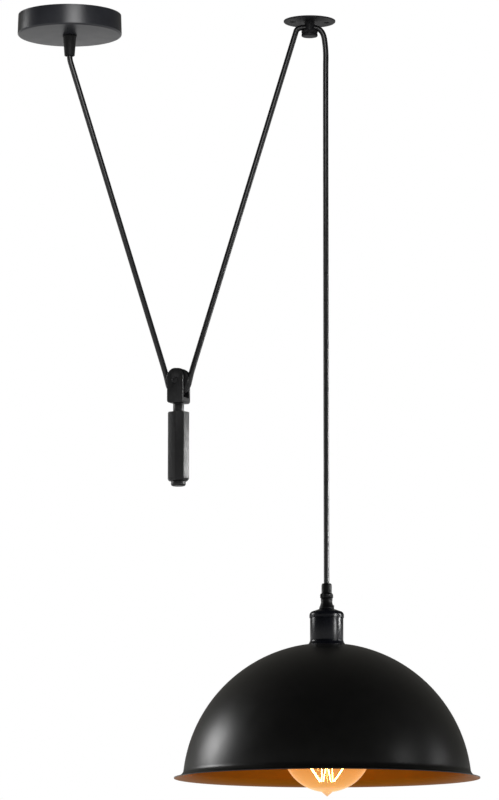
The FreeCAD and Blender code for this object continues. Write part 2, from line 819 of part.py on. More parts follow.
def build_canopy_grip():
    top = -s.canopyHeight
    bottom = grip_end()
    thread = s.gripThread / 2
    body = turned_body(
        "canopy_grip",
        [
            (s.cordBore / 2, top + s.gripThreadLength),
            (thread, top + s.gripThreadLength),
            (thread, top),
            (s.gripFlangeDiameter / 2, top),
            (s.gripFlangeDiameter / 2, top - s.gripFlangeHeight),
            (s.gripTopDiameter / 2, top - s.gripFlangeHeight),
            (s.gripBottomDiameter / 2, bottom + s.gripEdge),
            (s.gripBottomDiameter / 2 - s.gripEdge, bottom),
            (s.gripMouth / 2, bottom),
            (s.cordBore / 2, bottom + s.gripMouthDepth),
        ],
    )
    height = top - s.gripScrewDrop
    reach = s.gripTopDiameter
    sketch = new_sketch(body, "XZ_Plane")
    draw_circles(sketch, [(NONE, height)], s.gripScrewDiameter / 2)
    feature = body.newObject("PartDesign::Pocket", "canopy_grip_screw_hole")
    feature.Profile = sketch
    bind(feature, "Length", reach)
    feature.Reversed = False
    before = body.Shape.Volume
    doc.recompute()
    if body.Shape.Volume > before - 1e-6 or body.Shape.BoundBox.YMax < s.gripBottomDiameter.value / 2:
        raise ValueError("canopy_grip: the screw hole is missing")
    nut = hexagon("grip_nut_blank", s.gripNutFlats, s.gripNutHeight, (NONE, NONE, top + s.canopyWall))
    bore = cylinder("grip_nut_bore", thread, s.gripNutHeight, (NONE, NONE, top + s.canopyWall))
    as_subpart(cut("canopy_grip_nut", nut, [bore]), "canopy_grip_nut")
    length = s.gripBottomDiameter / 2 - s.cordDiameter / 2
    outward = (NONE, s.cordDiameter / 2 + s.swingGap / 10, height)
    screw = cylinder("grip_screw_blank", s.gripScrewDiameter / 2, length, outward, "y")
    socket_at = (NONE, s.gripBottomDiameter / 2 - length / 3, height)
    socket = cylinder("grip_screw_socket", s.gripScrewDiameter / 4, length, socket_at, "y")
    as_subpart(cut("canopy_grip_screw", screw, [socket]), "canopy_grip_screw")


def build_rose_wiring():
    d = s.cordDiameter.value
    top = -s.canopyHeight.value + s.sheathAbove.value
    low = grip_end().value + s.swingInside.value + s.swingGap.value / 2
    tube("cord_in_canopy", [vector(0, 0, low), vector(0, 0, top)], d)
    core = s.coreDiameter.value
    spread = s.coreSpread.value
    rise = s.coreRise.value
    level = pole_height().value
    reach = s.blockWidth.value / 2 + s.coreReach.value
    poles = pole_places()
    for name, angle, pole in (("core_live", 30, poles[0]), ("core_neutral", -90, poles[1])):
        x = spread * math.cos(math.radians(angle))
        y = spread * math.sin(math.radians(angle))
        far = pole.value
        side = 1 if name == "core_live" else -1
        points = [
            vector(x, y, top),
            vector(x, y, top + rise),
            vector(far - s.coreRun.value, side * reach, level),
            vector(far, side * reach, level),
            vector(far, side * s.coreStop.value, level),
        ]
        tube(name, points, core)
    eye = earth_at().value + s.tagDiameter.value / 2 - s.tagThick.value
    end = eye + s.tagThick.value * 2
    height = -s.strapThick.value - core / 2 - s.tagThick.value / 2
    x = spread * math.cos(math.radians(150))
    y = spread * math.sin(math.radians(150))
    points = [
        vector(x, y, top),
        vector(x, y, top + rise),
        vector(end + s.tagBarrelLength.value + s.earthRun.value, 0, height),
        vector(end, 0, height),
    ]
    tube("core_earth", points, core)


# ---- ceiling guide ---------------------------------------------------------------------------


def guide_at():
    return s.lampAt - s.guideBefore


def build_guide():
    x = guide_at()
    radius = s.plateDiameter / 2
    plate = turned_body(
        "guide_plate",
        [
            (NONE, NONE),
            (radius, NONE),
            (radius, s.plateEdge - s.plateThick),
            (radius - s.plateEdge, -s.plateThick),
            (NONE, -s.plateThick),
        ],
        (x, NONE, NONE),
    )
    half = s.plateHolePitch / 2
    drill(plate, "XY_Plane", [(half, NONE), (-half, NONE)], s.plateHole / 2, s.plateThick * 3)
    drill(plate, "XY_Plane", [(NONE, NONE)], s.postScrewDiameter / 2, s.plateThick * 3)
    sinks = []
    depth = s.plateThick
    mouth = s.plateSink / 2
    for side in (1, -1):
        at = (x + half * side, NONE, -depth)
        name = "plate_sink_%d" % (side + 1)
        sinks.append(cone(name, mouth, s.plateHole / 2, s.plateSinkDepth, at))
    at = (x, NONE, -depth)
    sinks.append(cone("plate_screw_sink", s.postScrewDiameter / 2, s.postScrewHead / 2, depth, at))
    SUBPARTS.remove(plate)
    plate.Label = "guide_plate_blank"
    as_subpart(cut("guide_plate_sunk", plate, sinks), "guide_plate")
    build_guide_post(x)
    build_guide_nut(x)
    head = cone(
        "post_screw_head", s.postScrewDiameter / 2, s.postScrewHead / 2, depth, (x, NONE, -depth)
    )
    length = s.plateThick + s.postScrewLength
    shank = cylinder(
        "post_screw_shank", s.postScrewDiameter / 2, length, (x, NONE, -length)
    )
    as_subpart(fuse("guide_post_screw", [head, shank]), "guide_post_screw")


def nut_top():
    return -s.cordDrop - s.cordDiameter / 2 - s.guideNutSlack


def build_guide_post(x):
    post = new_body("guide_post", (x, NONE, NONE))
    top = -s.plateThick
    bottom = top - s.postLength
    revolve(
        post,
        [
            (NONE, top),
            (s.postDiameter / 2, top),
            (s.postDiameter / 2, bottom),
            (NONE, bottom),
        ],
    )
    half = (s.cordDiameter + s.slotSlack) / 2
    roof = -s.cordDrop
    pocket(
        post,
        "YZ_Plane",
        [(-half, bottom * 2), (half, bottom * 2), (half, roof), (-half, roof)],
        s.postDiameter * 2,
    )
    drill(post, "YZ_Plane", [(NONE, roof)], half, s.postDiameter * 2)
    sketch = new_sketch(post, "XY_Plane")
    draw_circles(sketch, [(NONE, NONE)], s.postScrewDiameter / 2)
    hole = post.newObject("PartDesign::Pocket", "guide_post_screw_hole")
    hole.Profile = sketch
    bind(hole, "Length", s.plateThick + s.postScrewLength)
    doc.recompute()


def build_guide_nut(x):
    top = nut_top()
    bottom = top - s.guideNutHeight
    outer = s.guideNutDiameter / 2
    inner = s.postDiameter / 2
    floor = bottom + s.guideNutFloor
    edge = s.guideNutEdge
    middle = (top + bottom) / 2
    groove = s.guideNutGroove / 2
    deep = outer - s.guideNutGrooveDepth
    turned_body(
        "guide_nut",
        [
            (NONE, bottom),
            (outer - edge, bottom),
            (edge, "left"),
            (outer, bottom + edge),
            (outer, middle - groove),
            (deep, middle - groove),
            (deep, middle + groove),
            (outer, middle + groove),
            (outer, top - edge / 4),
            (outer - edge / 4, top),
            (inner, top),
            (inner, floor),
            (NONE, floor),
        ],
        (x, NONE, NONE),
    )


# ---- counterweight ---------------------------------------------------------------------------


def left_corner_at():
    return guide_at() - s.leftCornerOff


def weight_at():
    return left_corner_at() * s.weightShare


def weight_place():
    return (weight_at(), NONE, -s.axleDrop)


def weight_turn():
    return -s.forkTurn.value


def build_fork():
    body = new_body("fork", weight_place(), weight_turn())
    half = s.forkDepth / 2
    inner = half - s.forkPlate
    above = s.forkAbove
    foot = -s.forkBelow
    web = foot + s.forkWeb
    pad(
        body,
        "YZ_Plane",
        [
            (-half, foot),
            (half, foot),
            (half, above),
            (inner, above),
            (inner, web),
            (-inner, web),
            (-inner, above),
            (-half, above),
        ],
        s.forkWidth,
    )
    wide = s.forkWidth / 2
    far = s.forkWidth
    shoulder = above - wide
    over = above + wide
    for side in (1, -1):
        away = wide * side
        pocket(
            body,
            "XZ_Plane",
            [
                (away, shoulder),
                (wide, "left" if side == 1 else "right"),
                (NONE, above),
                (NONE, over),
                (far * side, over),
                (far * side, shoulder),
            ],
            s.forkDepth * 1.1,
        )
    drill(body, "XZ_Plane", [(NONE, NONE)], s.bushDiameter / 2 - s.bushWall, s.forkDepth * 1.1)
    drill(body, "XY_Plane", [(NONE, NONE)], s.stemThread / 2, s.forkBelow * 2.2)
    dress(
        body,
        "Fillet",
        s.forkCorner,
        lambda edge: abs(edge.BoundBox.ZMax - foot.value) < 1e-4
        and edge.BoundBox.XLength < 1e-4
        and abs(edge.CenterOfMass.x) > wide.value - 1e-4,
    )


def build_wheel():
    width = s.wheelWidth / 2
    hub = s.hubWidth / 2
    groove = s.cordDiameter / 2 + s.grooveSlack
    pitch = s.pitchRadius
    rim = s.wheelRadius
    body = new_body("pulley_wheel", weight_place(), weight_turn())
    sketch = new_sketch(body, "YZ_Plane")
    draw_outline(
        sketch,
        [
            (-hub, s.bushDiameter / 2),
            (-hub, s.hubDiameter / 2),
            (-width, s.hubDiameter / 2),
            (-width, rim - s.wheelEdge),
            (s.wheelEdge - width, rim),
            (-groove, rim),
            (-groove, pitch),
            (groove, "left"),
            (NONE, pitch - groove),
            (groove, "left"),
            (groove, pitch),
            (groove, rim),
            (width - s.wheelEdge, rim),
            (width, rim - s.wheelEdge),
            (width, s.hubDiameter / 2),
            (hub, s.hubDiameter / 2),
            (hub, s.bushDiameter / 2),
        ],
    )
    turned = body.newObject("PartDesign::Revolution", "pulley_wheel_turned")
    turned.Profile = sketch
    turned.ReferenceAxis = (sketch, ["H_Axis"])
    turned.Angle = 360
    doc.recompute()


def across_fork(name, outer, inner, low, high):
    """A ring along the axle, from low to high on the fork's Y axis."""
    body = new_body(name, weight_place(), weight_turn())
    sketch = new_sketch(body, "YZ_Plane")
    draw_outline(sketch, [(low, inner), (high, inner), (high, outer), (low, outer)])
    turned = body.newObject("PartDesign::Revolution", name + "_turned")
    turned.Profile = sketch
    turned.ReferenceAxis = (sketch, ["H_Axis"])
    turned.Angle = 360
    doc.recompute()
    return body


def build_axle():
    inner = s.bushDiameter / 2 - s.bushWall
    half = s.hubWidth / 2
    across_fork("wheel_bush", s.bushDiameter / 2, inner, -half, half)
    washers = []
    for side in (1, -1):
        name = "washer_front" if side == -1 else "washer_back"
        near = half if side == 1 else -(half + s.washerThick)
        washer = across_fork(name, s.washerDiameter / 2, inner, near, near + s.washerThick)
        SUBPARTS.remove(washer)
        washers.append(washer)
    group("axle_washers", washers)
    outside = s.forkDepth / 2
    bore = s.axleScrewDiameter / 2
    head = s.axleHead / 2
    front = -outside
    barrel = new_body("axle_barrel", weight_place(), weight_turn())
    sketch = new_sketch(barrel, "YZ_Plane")
    blind = front + s.axleScrewLength
    draw_outline(
        sketch,
        [
            (front, bore),
            (front, inner),
            (outside, inner),
            (outside, head),
            (outside + s.axleHeadHeight / 2, head),
            (outside + s.axleHeadHeight, head - s.axleHeadHeight / 2),
            (outside + s.axleHeadHeight, NONE),
            (blind, NONE),
            (blind, bore),
        ],
    )
    turned = barrel.newObject("PartDesign::Revolution", "axle_barrel_turned")
    turned.Profile = sketch
    turned.ReferenceAxis = (sketch, ["H_Axis"])
    turned.Angle = 360
    doc.recompute()
    screw = new_body("axle_screw", weight_place(), weight_turn())
    sketch = new_sketch(screw, "YZ_Plane")
    socket = s.axleSocket / 2
    face = front - s.axleHeadHeight
    draw_outline(
        sketch,
        [
            (blind - s.axleEndGap, NONE),
            (blind - s.axleEndGap, bore),
            (front, bore),
            (front, head),
            (front - s.axleHeadHeight / 2, head),
            (face, head - s.axleHeadHeight / 2),
            (face, socket),
            (face + s.axleSocketDepth, socket),
            (face + s.axleSocketDepth, NONE),
        ],
    )
    turned = screw.newObject("PartDesign::Revolution", "axle_screw_turned")
    turned.Profile = sketch
    turned.ReferenceAxis = (sketch, ["H_Axis"])
    turned.Angle = 360
    doc.recompute()


def weight_top():
    return -s.axleDrop - s.forkBelow - s.stemLength


def build_weight():
    fork_foot = -s.forkBelow
    top = fork_foot - s.stemLength
    thread = s.stemThread / 2
    turned_body(
        "fork_stem",
        [
            (NONE, fork_foot + s.forkWeb - s.forkEdge),
            (thread, fork_foot + s.forkWeb - s.forkEdge),
            (thread, fork_foot),
            (s.stemDiameter / 2, fork_foot),
            (s.stemDiameter / 2, top),
            (thread, top),
            (thread, top - s.stemInWeight),
            (NONE, top - s.stemInWeight),
        ],
        weight_place(),
    )
    bar = new_body("weight_bar", (weight_at(), NONE, weight_top()))
    flat = s.weightFlats / 2
    corner = flat * math.tan(math.radians(22.5))
    outline = [
        (corner, -flat),
        (flat, -corner),
        (flat, corner),
        (corner, flat),
        (-corner, flat),
        (-flat, corner),
        (-flat, -corner),
        (-corner, -flat),
    ]
    sketch = new_sketch(bar, "XY_Plane")
    draw_outline(sketch, outline)
    feature = bar.newObject("PartDesign::Pad", "weight_bar_pad")
    feature.Profile = sketch
    bind(feature, "Length", s.weightLength)
    feature.Reversed = True
    doc.recompute()
    foot = -s.weightLength
    around = s.weightFlats
    trim = flat * (1 / math.cos(math.radians(22.5)) - 1)
    before = bar.Shape.Volume
    revolve(
        bar,
        [
            (flat - s.weightFootRound, foot),
            (s.weightFootRound + trim, "left"),
            (flat + trim, foot + s.weightFootRound + trim),
            (around, foot + s.weightFootRound + trim),
            (around, foot - s.weightFootRound),
            (flat - s.weightFootRound, foot - s.weightFootRound),
        ],
        "PartDesign::Groove",
    )
    if bar.Shape.Volume > before - 1e-6:
        raise ValueError("weight_bar: the foot stays square")
    for depth, radius, end in (
        (s.stemInWeight, s.stemThread / 2, NONE),
        (s.plugInWeight, s.plugThread / 2, foot),
    ):
        sketch = new_sketch(bar, "XY_Plane", end)
        draw_circles(sketch, [(NONE, NONE)], radius)
        hole = bar.newObject("PartDesign::Pocket", "weight_bar_hole")
        hole.Profile = sketch
        bind(hole, "Length", depth * 2)
        hole.SideType = "Symmetric"
        doc.recompute()
    plug_top = weight_top() - s.weightLength
    radius = s.plugDiameter / 2
    turned_body(
        "weight_plug",
        [
            (NONE, s.plugInWeight),
            (s.plugThread / 2, s.plugInWeight),
            (s.plugThread / 2, NONE),
            (radius, NONE),
            (radius, s.plugRound - s.plugHeight),
            (s.plugRound, "right"),
            (radius - s.plugRound, -s.plugHeight),
            (NONE, -s.plugHeight),
        ],
        (weight_at(), NONE, plug_top),
    )


# ---- the free cord ---------------------------------------------------------------------------


def wheel_frame():
    """Centre of the wheel, its level direction and the directions of the two legs on it."""
    centre = vector(weight_at().value, 0, -s.axleDrop.value)
    turn = math.radians(weight_turn())
    level = vector(math.cos(turn), math.sin(turn), 0)
    up = vector(0, 0, 1)
    return centre, level, up


def leg_lean():
    """Lean of the legs from plumb within the wheel's own plane."""
    drop = s.axleDrop.value - s.cordDrop.value
    across = left_corner_at().value - weight_at().value - s.pitchRadius.value
    return math.atan2(across, drop) * math.cos(math.radians(s.forkTurn.value))


def wheel_points(side):
    """Where the cord leaves the wheel on one side, and the corner where the leg starts."""
    centre, level, up = wheel_frame()
    lean = leg_lean()
    radius = s.pitchRadius.value
    leaves = centre + level * (side * radius * math.cos(lean)) - up * (radius * math.sin(lean))
    away = level * (side * math.sin(lean)) + up * math.cos(lean)
    return leaves, leaves + away * s.straightOff.value


def build_free_cord():
    d = s.cordDiameter.value
    centre, _, up = wheel_frame()
    left_leaves, left_corner = wheel_points(-1)
    right_leaves, right_corner = wheel_points(1)
    start = vector(0, 0, grip_end().value + s.swingInside.value - s.swingGap.value / 2)
    grip_corner = vector(0, 0, grip_end().value - s.bendBelow.value)
    high = -s.cordDrop.value
    guide_corner = vector(left_corner_at().value, 0, high)
    half = s.postDiameter.value / 2
    left_mouth = vector(guide_at().value - half + s.swingInPost.value, 0, high)
    right_mouth = vector(guide_at().value + half - s.swingInPost.value, 0, high)

    # Each corner by the wheel is shared: the wrap keeps the arc, and the leg starts after it.
    bends = {}
    for name, before, corner, after in (
        ("left", left_leaves, left_corner, grip_corner),
        ("right", right_leaves, right_corner, guide_corner),
    ):
        turn = (corner - before).getAngle(after - corner)
        radius = BEND_SHARE * s.straightOff.value / math.tan(turn / 2)
        setback = radius * math.tan(turn / 2)
        leg_start = corner + (after - corner).normalize() * setback
        bends[name] = (radius, leg_start)

    arc = Part.Arc(left_leaves, centre - up * s.pitchRadius.value, right_leaves).toShape()
    left_side, left_radii = route_edges([bends["left"][1], left_corner, left_leaves], {1: bends["left"][0]})
    right_side, right_radii = route_edges(
        [right_leaves, right_corner, bends["right"][1]], {1: bends["right"][0]}
    )
    edges = left_side + [arc] + right_side
    radii = left_radii + [s.pitchRadius.value] + right_radii
    tube_along("cord_on_wheel", edges, d, radii)

    grip_bend = 0.9 * (start - grip_corner).Length / math.tan(
        (grip_corner - start).getAngle(bends["left"][1] - grip_corner) / 2
    )
    tube("cord_left_leg", [start, grip_corner, bends["left"][1]], d, {1: min(grip_bend, s.gripBend.value)})
    inset = s.swingGap.value / 4
    left_start = left_mouth - vector(inset, 0, 0)
    tube("cord_right_leg", [left_start, guide_corner, bends["right"][1]], d, {1: s.leftBend.value})
    tube("cord_in_guide", [left_mouth, right_mouth], d)
    plumb_x = s.lampAt.value
    points = [
        right_mouth + vector(inset, 0, 0),
        vector(guide_at().value + s.rightCornerOff.value, 0, high),
        vector(plumb_x + s.bulgeOut.value, 0, -s.bulgeDrop.value),
        vector(plumb_x, 0, -s.plumbDrop.value),
        vector(plumb_x, 0, -s.lampGripTop.value),
    ]
    tube("cord_drop", points, d, {1: s.rightBend.value})
    lengths = sum(
        (one - other).Length
        for one, other in (
            (grip_corner, left_leaves),
            (right_leaves, guide_corner),
            (points[0], points[-1]),
        )
    )
    print("cord from rose to lamp about %.0f mm" % (lengths + math.pi * s.pitchRadius.value))


# ---- lamp ------------------------------------------------------------------------------------


def lamp_axis():
    return (s.lampAt, NONE, NONE)


def cap_top():
    return (
        -s.lampGripTop
        - s.gripCapHeight
        - s.lampNutHeight
        - s.lampNeckHeight
        - s.lampFlareHeight
    )


def build_lamp_grip():
    top = -s.lampGripTop
    nut = top - s.gripCapHeight
    neck = nut - s.lampNutHeight
    waist = neck - s.lampNeckHeight
    foot = cap_top()
    bore = s.cordBore / 2
    cap = s.gripCapDiameter / 2
    bulge = s.lampNutDiameter / 2
    edge = s.lampNutRound
    seal = s.sealOuter / 2
    seal_top = nut + s.sealLength / 2
    seal_foot = seal_top - s.sealLength
    turned_body(
        "lamp_grip_nut",
        [
            (bore, top),
            (s.gripCapTopDiameter / 2, top),
            (cap, top - s.gripCapRound),
            (cap, nut),
            (bulge - edge, nut),
            (bulge, nut - edge),
            (bulge, neck + edge),
            (bulge - edge, neck),
            (seal, neck),
            (seal, seal_top),
            (bore, seal_top),
        ],
        lamp_axis(),
    )
    turned_body(
        "lamp_grip_seal",
        [
            (bore - s.sealPinch, seal_top),
            (seal, seal_top),
            (seal, seal_foot),
            (bore - s.sealPinch, seal_foot),
        ],
        lamp_axis(),
    )
    thread = s.lampThread / 2
    body = turned_body(
        "lamp_grip",
        [
            (bore, neck),
            (s.lampNeckTop / 2, neck),
            (s.lampNeckBottom / 2, waist),
            (s.lampFlareDiameter / 2, foot + s.lampFlareHeight / 6),
            (s.lampFlareDiameter / 2, foot),
            (thread, foot),
            (thread, foot - s.lampThreadLength),
            (bore, foot - s.lampThreadLength),
        ],
        lamp_axis(),
    )
    height = foot + s.lampScrewHeight
    reach = s.lampFlareDiameter
    sketch = new_sketch(body, "YZ_Plane")
    draw_circles(sketch, [(NONE, height)], s.lampScrewDiameter / 2)
    hole = body.newObject("PartDesign::Pocket", "lamp_grip_screw_hole")
    hole.Profile = sketch
    bind(hole, "Length", reach)
    hole.Reversed = True
    doc.recompute()
    inside = s.cordDiameter / 2 + s.swingGap / 10
    length = s.lampFlareDiameter / 2 - inside
    at = (s.lampAt + inside, NONE, height)
    screw = cylinder("lamp_screw_blank", s.lampScrewDiameter / 2, length, at, "x")
    mouth = (s.lampAt + inside + length * 0.7, NONE, height)
    socket = cylinder("lamp_screw_socket", s.lampScrewDiameter / 4, length, mouth, "x")
    as_subpart(cut("lamp_grip_screw", screw, [socket]), "lamp_grip_screw")
    under = foot - s.capWall - s.capNutHeight
    blank = hexagon("cap_nut_blank", s.capNutFlats, s.capNutHeight, (s.lampAt, NONE, under))
    nut_bore = cylinder("cap_nut_bore", thread, s.capNutHeight, (s.lampAt, NONE, under))
    as_subpart(cut("holder_cap_nut", blank, [nut_bore]), "holder_cap_nut")


def cup_top():
    return cap_top() - s.capHeight


def cup_foot():
    return cup_top() - s.cupHeight


def shade_top():
    return cup_foot() - s.collarHeight


def build_holder():
    top = cap_top()
    seam = cup_top()
    foot = cup_foot()
    wall = s.capWall
    outer = s.capDiameter / 2
    bend_top = top - s.capTopFall
    thread = s.lampThread / 2
    round_out = (outer - s.capTopRadius) * 1.15
    turned_body(
        "holder_cap",
        [
            (thread, top),
            (s.lampFlareDiameter / 2, top),
            (s.capTopRadius, bend_top),
            (round_out, "right"),
            (outer, seam + s.cupOverlap),
            (outer, seam),
            (outer - wall, seam),
            (outer - wall, seam + s.cupOverlap),
            (round_out - wall, "left"),
            (s.capTopRadius, bend_top - wall),
            (s.lampFlareDiameter / 2, top - wall),
            (thread, top - wall),
        ],
        lamp_axis(),
    )
    cup = s.cupDiameter / 2
    inner = cup - s.cupWall
    rim = outer - wall - s.cupSlack
    turned_body(
        "holder_cup",
        [
            (inner, seam + s.cupOverlap - s.cupSlack),
            (rim, seam + s.cupOverlap - s.cupSlack),
            (rim, seam - s.cupSlack),
            (cup, seam - s.cupSlack),
            (cup, foot),
            (inner, foot),
        ],
        lamp_axis(),
    )
    collar_top = foot - s.collarSeam
    flange = shade_top()
    neck = collar_top - s.collarNeckHeight
    skirt = s.skirtOuter / 2
    turned_body(
        "shade_collar",
        [
            (skirt, foot),
            (cup - s.collarSeam, foot),
            (cup - s.collarSeam, collar_top),
            (cup + s.collarSeam / 2, collar_top),
            (cup + s.collarSeam / 2, neck),
            (s.collarFoot / 2, flange + s.collarSeam),
            (s.collarFoot / 2, flange),
            (skirt, flange),
        ],
        lamp_axis(),
    )
    skirt_top = flange + s.skirtAbove
    skirt_foot = flange - s.skirtBelow
    turned_body(
        "holder_skirt",
        [
            (skirt - s.skirtWall, skirt_top),
            (inner, skirt_top),
            (inner, foot),
            (skirt, foot),
            (skirt, skirt_foot),
            (skirt - s.skirtWall, skirt_foot),
        ],
        lamp_axis(),
    )
    build_holder_inside(skirt - s.skirtWall - s.coreSlack)
    ring_top = flange - s.shadeWall
    turned_body(
        "shade_ring",
        [
            (skirt, ring_top),
            (s.ringOuter / 2, ring_top),
            (s.ringOuter / 2, ring_top - s.ringFlange),
            (s.ringBody / 2, ring_top - s.ringFlange),
            (s.ringBody / 2, ring_top - s.ringHeight),
            (skirt, ring_top - s.ringHeight),
        ],
        lamp_axis(),
    )


def core_foot():
    return shade_top() + s.coreAbove


def build_holder_inside(radius):
    foot = core_foot()
    top = foot + s.coreHeight
    shell = s.shellOuter / 2
    turned_body(
        "holder_core",
        [
            (NONE, foot),
            (shell - s.shellWall, foot),
            (shell - s.shellWall, foot + s.shellWall * 4),
            (shell, foot + s.shellWall * 4),
            (shell, foot - s.shellLength / 2),
            (radius, foot - s.shellLength / 2),
            (radius, top),
            (NONE, top),
        ],
        lamp_axis(),
    )
    turned_body(
        "screw_shell",
        [
            (shell - s.shellWall, foot),
            (shell - s.shellWall, foot - s.shellLength),
            (shell, foot - s.shellLength),
            (shell, foot + s.shellWall * 4),
            (shell - s.shellWall, foot + s.shellWall * 4),
        ],
        lamp_axis(),
    )
    spring = new_body("centre_contact", (s.lampAt, NONE, NONE))
    reach = s.contactReach / 2
    fall = foot - s.contactFall
    thick = s.contactThick
    pad(
        spring,
        "XZ_Plane",
        [
            (-reach, foot),
            (-reach, foot - thick),
            (-(reach / 3), fall - thick),
            (reach / 3, fall - thick),
            (reach, foot - thick),
            (reach, foot),
            (reach / 3 * 2, foot),
            (reach / 3, fall),
            (-(reach / 3), fall),
            (-(reach / 3 * 2), foot),
        ],
        s.contactWidth,
    )
    screws = []
    for side in (1, -1):
        at = (s.lampAt + s.terminalScrewPitch / 2 * side, NONE, top)
        name = "holder_screw_%d" % (side + 1)
        shank = cylinder(name, s.terminalScrewDiameter / 2, s.terminalScrewHeight, at)
        slot_at = (at[0], NONE, top + s.terminalScrewHeight * 0.7)
        slot = box(
            name + "_slot",
            s.terminalScrewDiameter * 1.1,
            s.terminalScrewDiameter / 5,
            s.terminalScrewHeight,
            slot_at,
        )
        screws.append(cut(name + "_cut", shank, [slot]))
    group("holder_terminal_screws", screws)


def build_lamp_wiring():
    x = s.lampAt.value
    top = -s.lampGripTop.value
    sheath_end = (cap_top() - s.lampThreadLength - s.lampSheathPast).value
    tube("cord_in_lamp", [vector(x, 0, top), vector(x, 0, sheath_end)], s.cordDiameter.value)
    level = (core_foot() + s.coreHeight).value
    pitch = s.terminalScrewPitch.value / 2 - s.terminalScrewDiameter.value / 2
    core = s.coreDiameter.value
    lies = level + core / 2 + s.lampCoreLift.value
    for side, name in ((-1, "lamp_core_live"), (1, "lamp_core_neutral")):
        near = x + side * s.coreSpread.value
        apart = near + side * s.lampCoreApart.value
        points = [
            vector(near, 0, sheath_end),
            vector(near, 0, sheath_end - s.lampCoreRun.value),
            vector(apart, 0, level + s.lampCoreTurn.value),
            vector(apart, 0, lies),
            vector(x + side * pitch, 0, lies),
        ]
        tube(name, points, core)


def dome_radius():
    return s.lipDiameter * s.domeShare


def dome_centre():
    return shade_top() - dome_radius() * math.cos(math.radians(s.crownAngle.value))


def dome_point(radius):
    """The point of the dome where its shoulder starts."""
    turn = math.radians(s.shoulderAngle.value)
    return radius * math.sin(turn), dome_centre() + radius * math.cos(turn)


def build_shade():
    wall = s.shadeWall
    outer = dome_radius()
    inner = outer - wall
    top = shade_top()
    lip = dome_centre() + s.lipAboveCentre
    lip_top = lip + s.lipRise
    height = (s.lipAboveCentre + s.lipRise).value
    start = outer * math.sqrt(1 - (height / outer.value) ** 2)
    shoulder_out = dome_point(outer)
    shoulder_in = dome_point(inner)
    across = shoulder_out[0].value - s.flatRadius.value
    fall = top.value - shoulder_out[1].value
    bow = 2 * (math.radians(s.shoulderAngle.value) - math.atan2(fall, across))
    ease = outer * (math.hypot(across, fall) / (2 * math.sin(bow / 2)) / outer.value)
    turned_body(
        "shade",
        [
            (s.shadeHole / 2, top),
            (s.flatRadius, top),
            (ease, "right"),
            shoulder_out,
            (outer, "right"),
            (start, lip_top),
            (s.lipCurl, "left"),
            (s.lipDiameter / 2, lip),
            (s.lipDiameter / 2 - wall / 3, lip - wall * 0.8),
            (s.lipCurl + wall, "right"),
            (start - wall, lip_top),
            (inner, "left"),
            shoulder_in,
            (ease - wall, "left"),
            (s.flatRadius, top - wall),
            (s.shadeHole / 2, top - wall),
        ],
        lamp_axis(),
    )


# ---- bulb ------------------------------------------------------------------------------------


def bulb_cap_top():
    return shade_top() - s.capTopDrop


def bulb_tip():
    return shade_top() - s.bulbTip


def build_bulb():
    build_bulb_cap()
    build_bulb_glass()
    build_bulb_inside()


def build_bulb_cap():
    top = bulb_cap_top()
    radius = s.capRadius
    thread = radius - s.threadDepth
    outline = [(radius - s.threadDepth * 2, top), (thread, top)]
    turns = int(s.capLength.value / s.capPitch.value)
    for number in range(turns):
        crest = top - s.capPitch * (number + 0.5)
        root = top - s.capPitch * (number + 1)
        outline.append((radius, crest))
        outline.append((thread, root))
    foot = top - s.capLength
    outline.append((thread, foot))
    outline.append((radius - s.threadDepth * 2, foot))
    turned_body("bulb_cap", outline, lamp_axis())
    base = radius - s.threadDepth * 2
    turned_body(
        "bulb_insulator",
        [
            (NONE, top - s.insulatorHeight / 3),
            (base, top - s.insulatorHeight / 3),
            (base, top),
            (s.insulatorTop, top + s.insulatorHeight),
            (NONE, top + s.insulatorHeight),
        ],
        lamp_axis(),
    )
    turned_body(
        "bulb_contact",
        [
            (NONE, top + s.insulatorHeight),
            (s.tipContactRadius, top + s.insulatorHeight),
            (s.tipContactRadius / 2, top + s.insulatorHeight + s.tipContactHeight),
            (NONE, top + s.insulatorHeight + s.tipContactHeight),
        ],
        lamp_axis(),
    )


def globe_centre():
    return bulb_tip() + s.nippleHeight + s.globeRadius


def build_bulb_glass():
    cap_foot = bulb_cap_top() - s.capLength
    fit = s.capRadius - s.threadDepth * 2
    collar = cap_foot + s.capLength / 4
    centre = globe_centre()
    globe = s.globeRadius
    wall = s.glassWall
    neck = s.neckRadius
    join = math.radians(s.neckJoinAngle.value)
    sweep = math.radians(s.nippleAngle.value)

    def glass(radius, shift, tip):
        """The outline from the cap's foot to the tip, drawn in by shift."""
        joint = (radius * math.sin(join), centre - radius * math.cos(join))
        low = (radius * math.sin(sweep), centre - radius * math.cos(sweep))
        return [
            (neck - shift, cap_foot - shift),
            (s.neckCurve + shift, "left"),
            joint,
            (radius, "right"),
            low,
            (NONE, tip),
        ]

    outside = glass(globe, wall * 0, bulb_tip())
    inside = glass(globe - wall, wall, bulb_tip() + wall * 2)
    outline = [(fit - wall, collar), (fit, collar), (fit, cap_foot)]
    outline += outside
    outline += [inside[5], inside[4], (globe - wall, "left"), inside[2]]
    outline += [(s.neckCurve + wall, "right"), inside[0], (fit - wall, cap_foot - wall)]
    turned_body("bulb_glass", outline, lamp_axis())


def hook_end(turn, out, height, side):
    """One end of a hook's crossbar, out from the bulb's axis at an angle in degrees."""
    angle = math.radians(turn)
    middle = vector(s.lampAt.value + out * math.cos(angle), out * math.sin(angle), height)
    across = vector(-math.sin(angle), math.cos(angle), 0)
    return middle + across * (side * s.hookSpread.value)


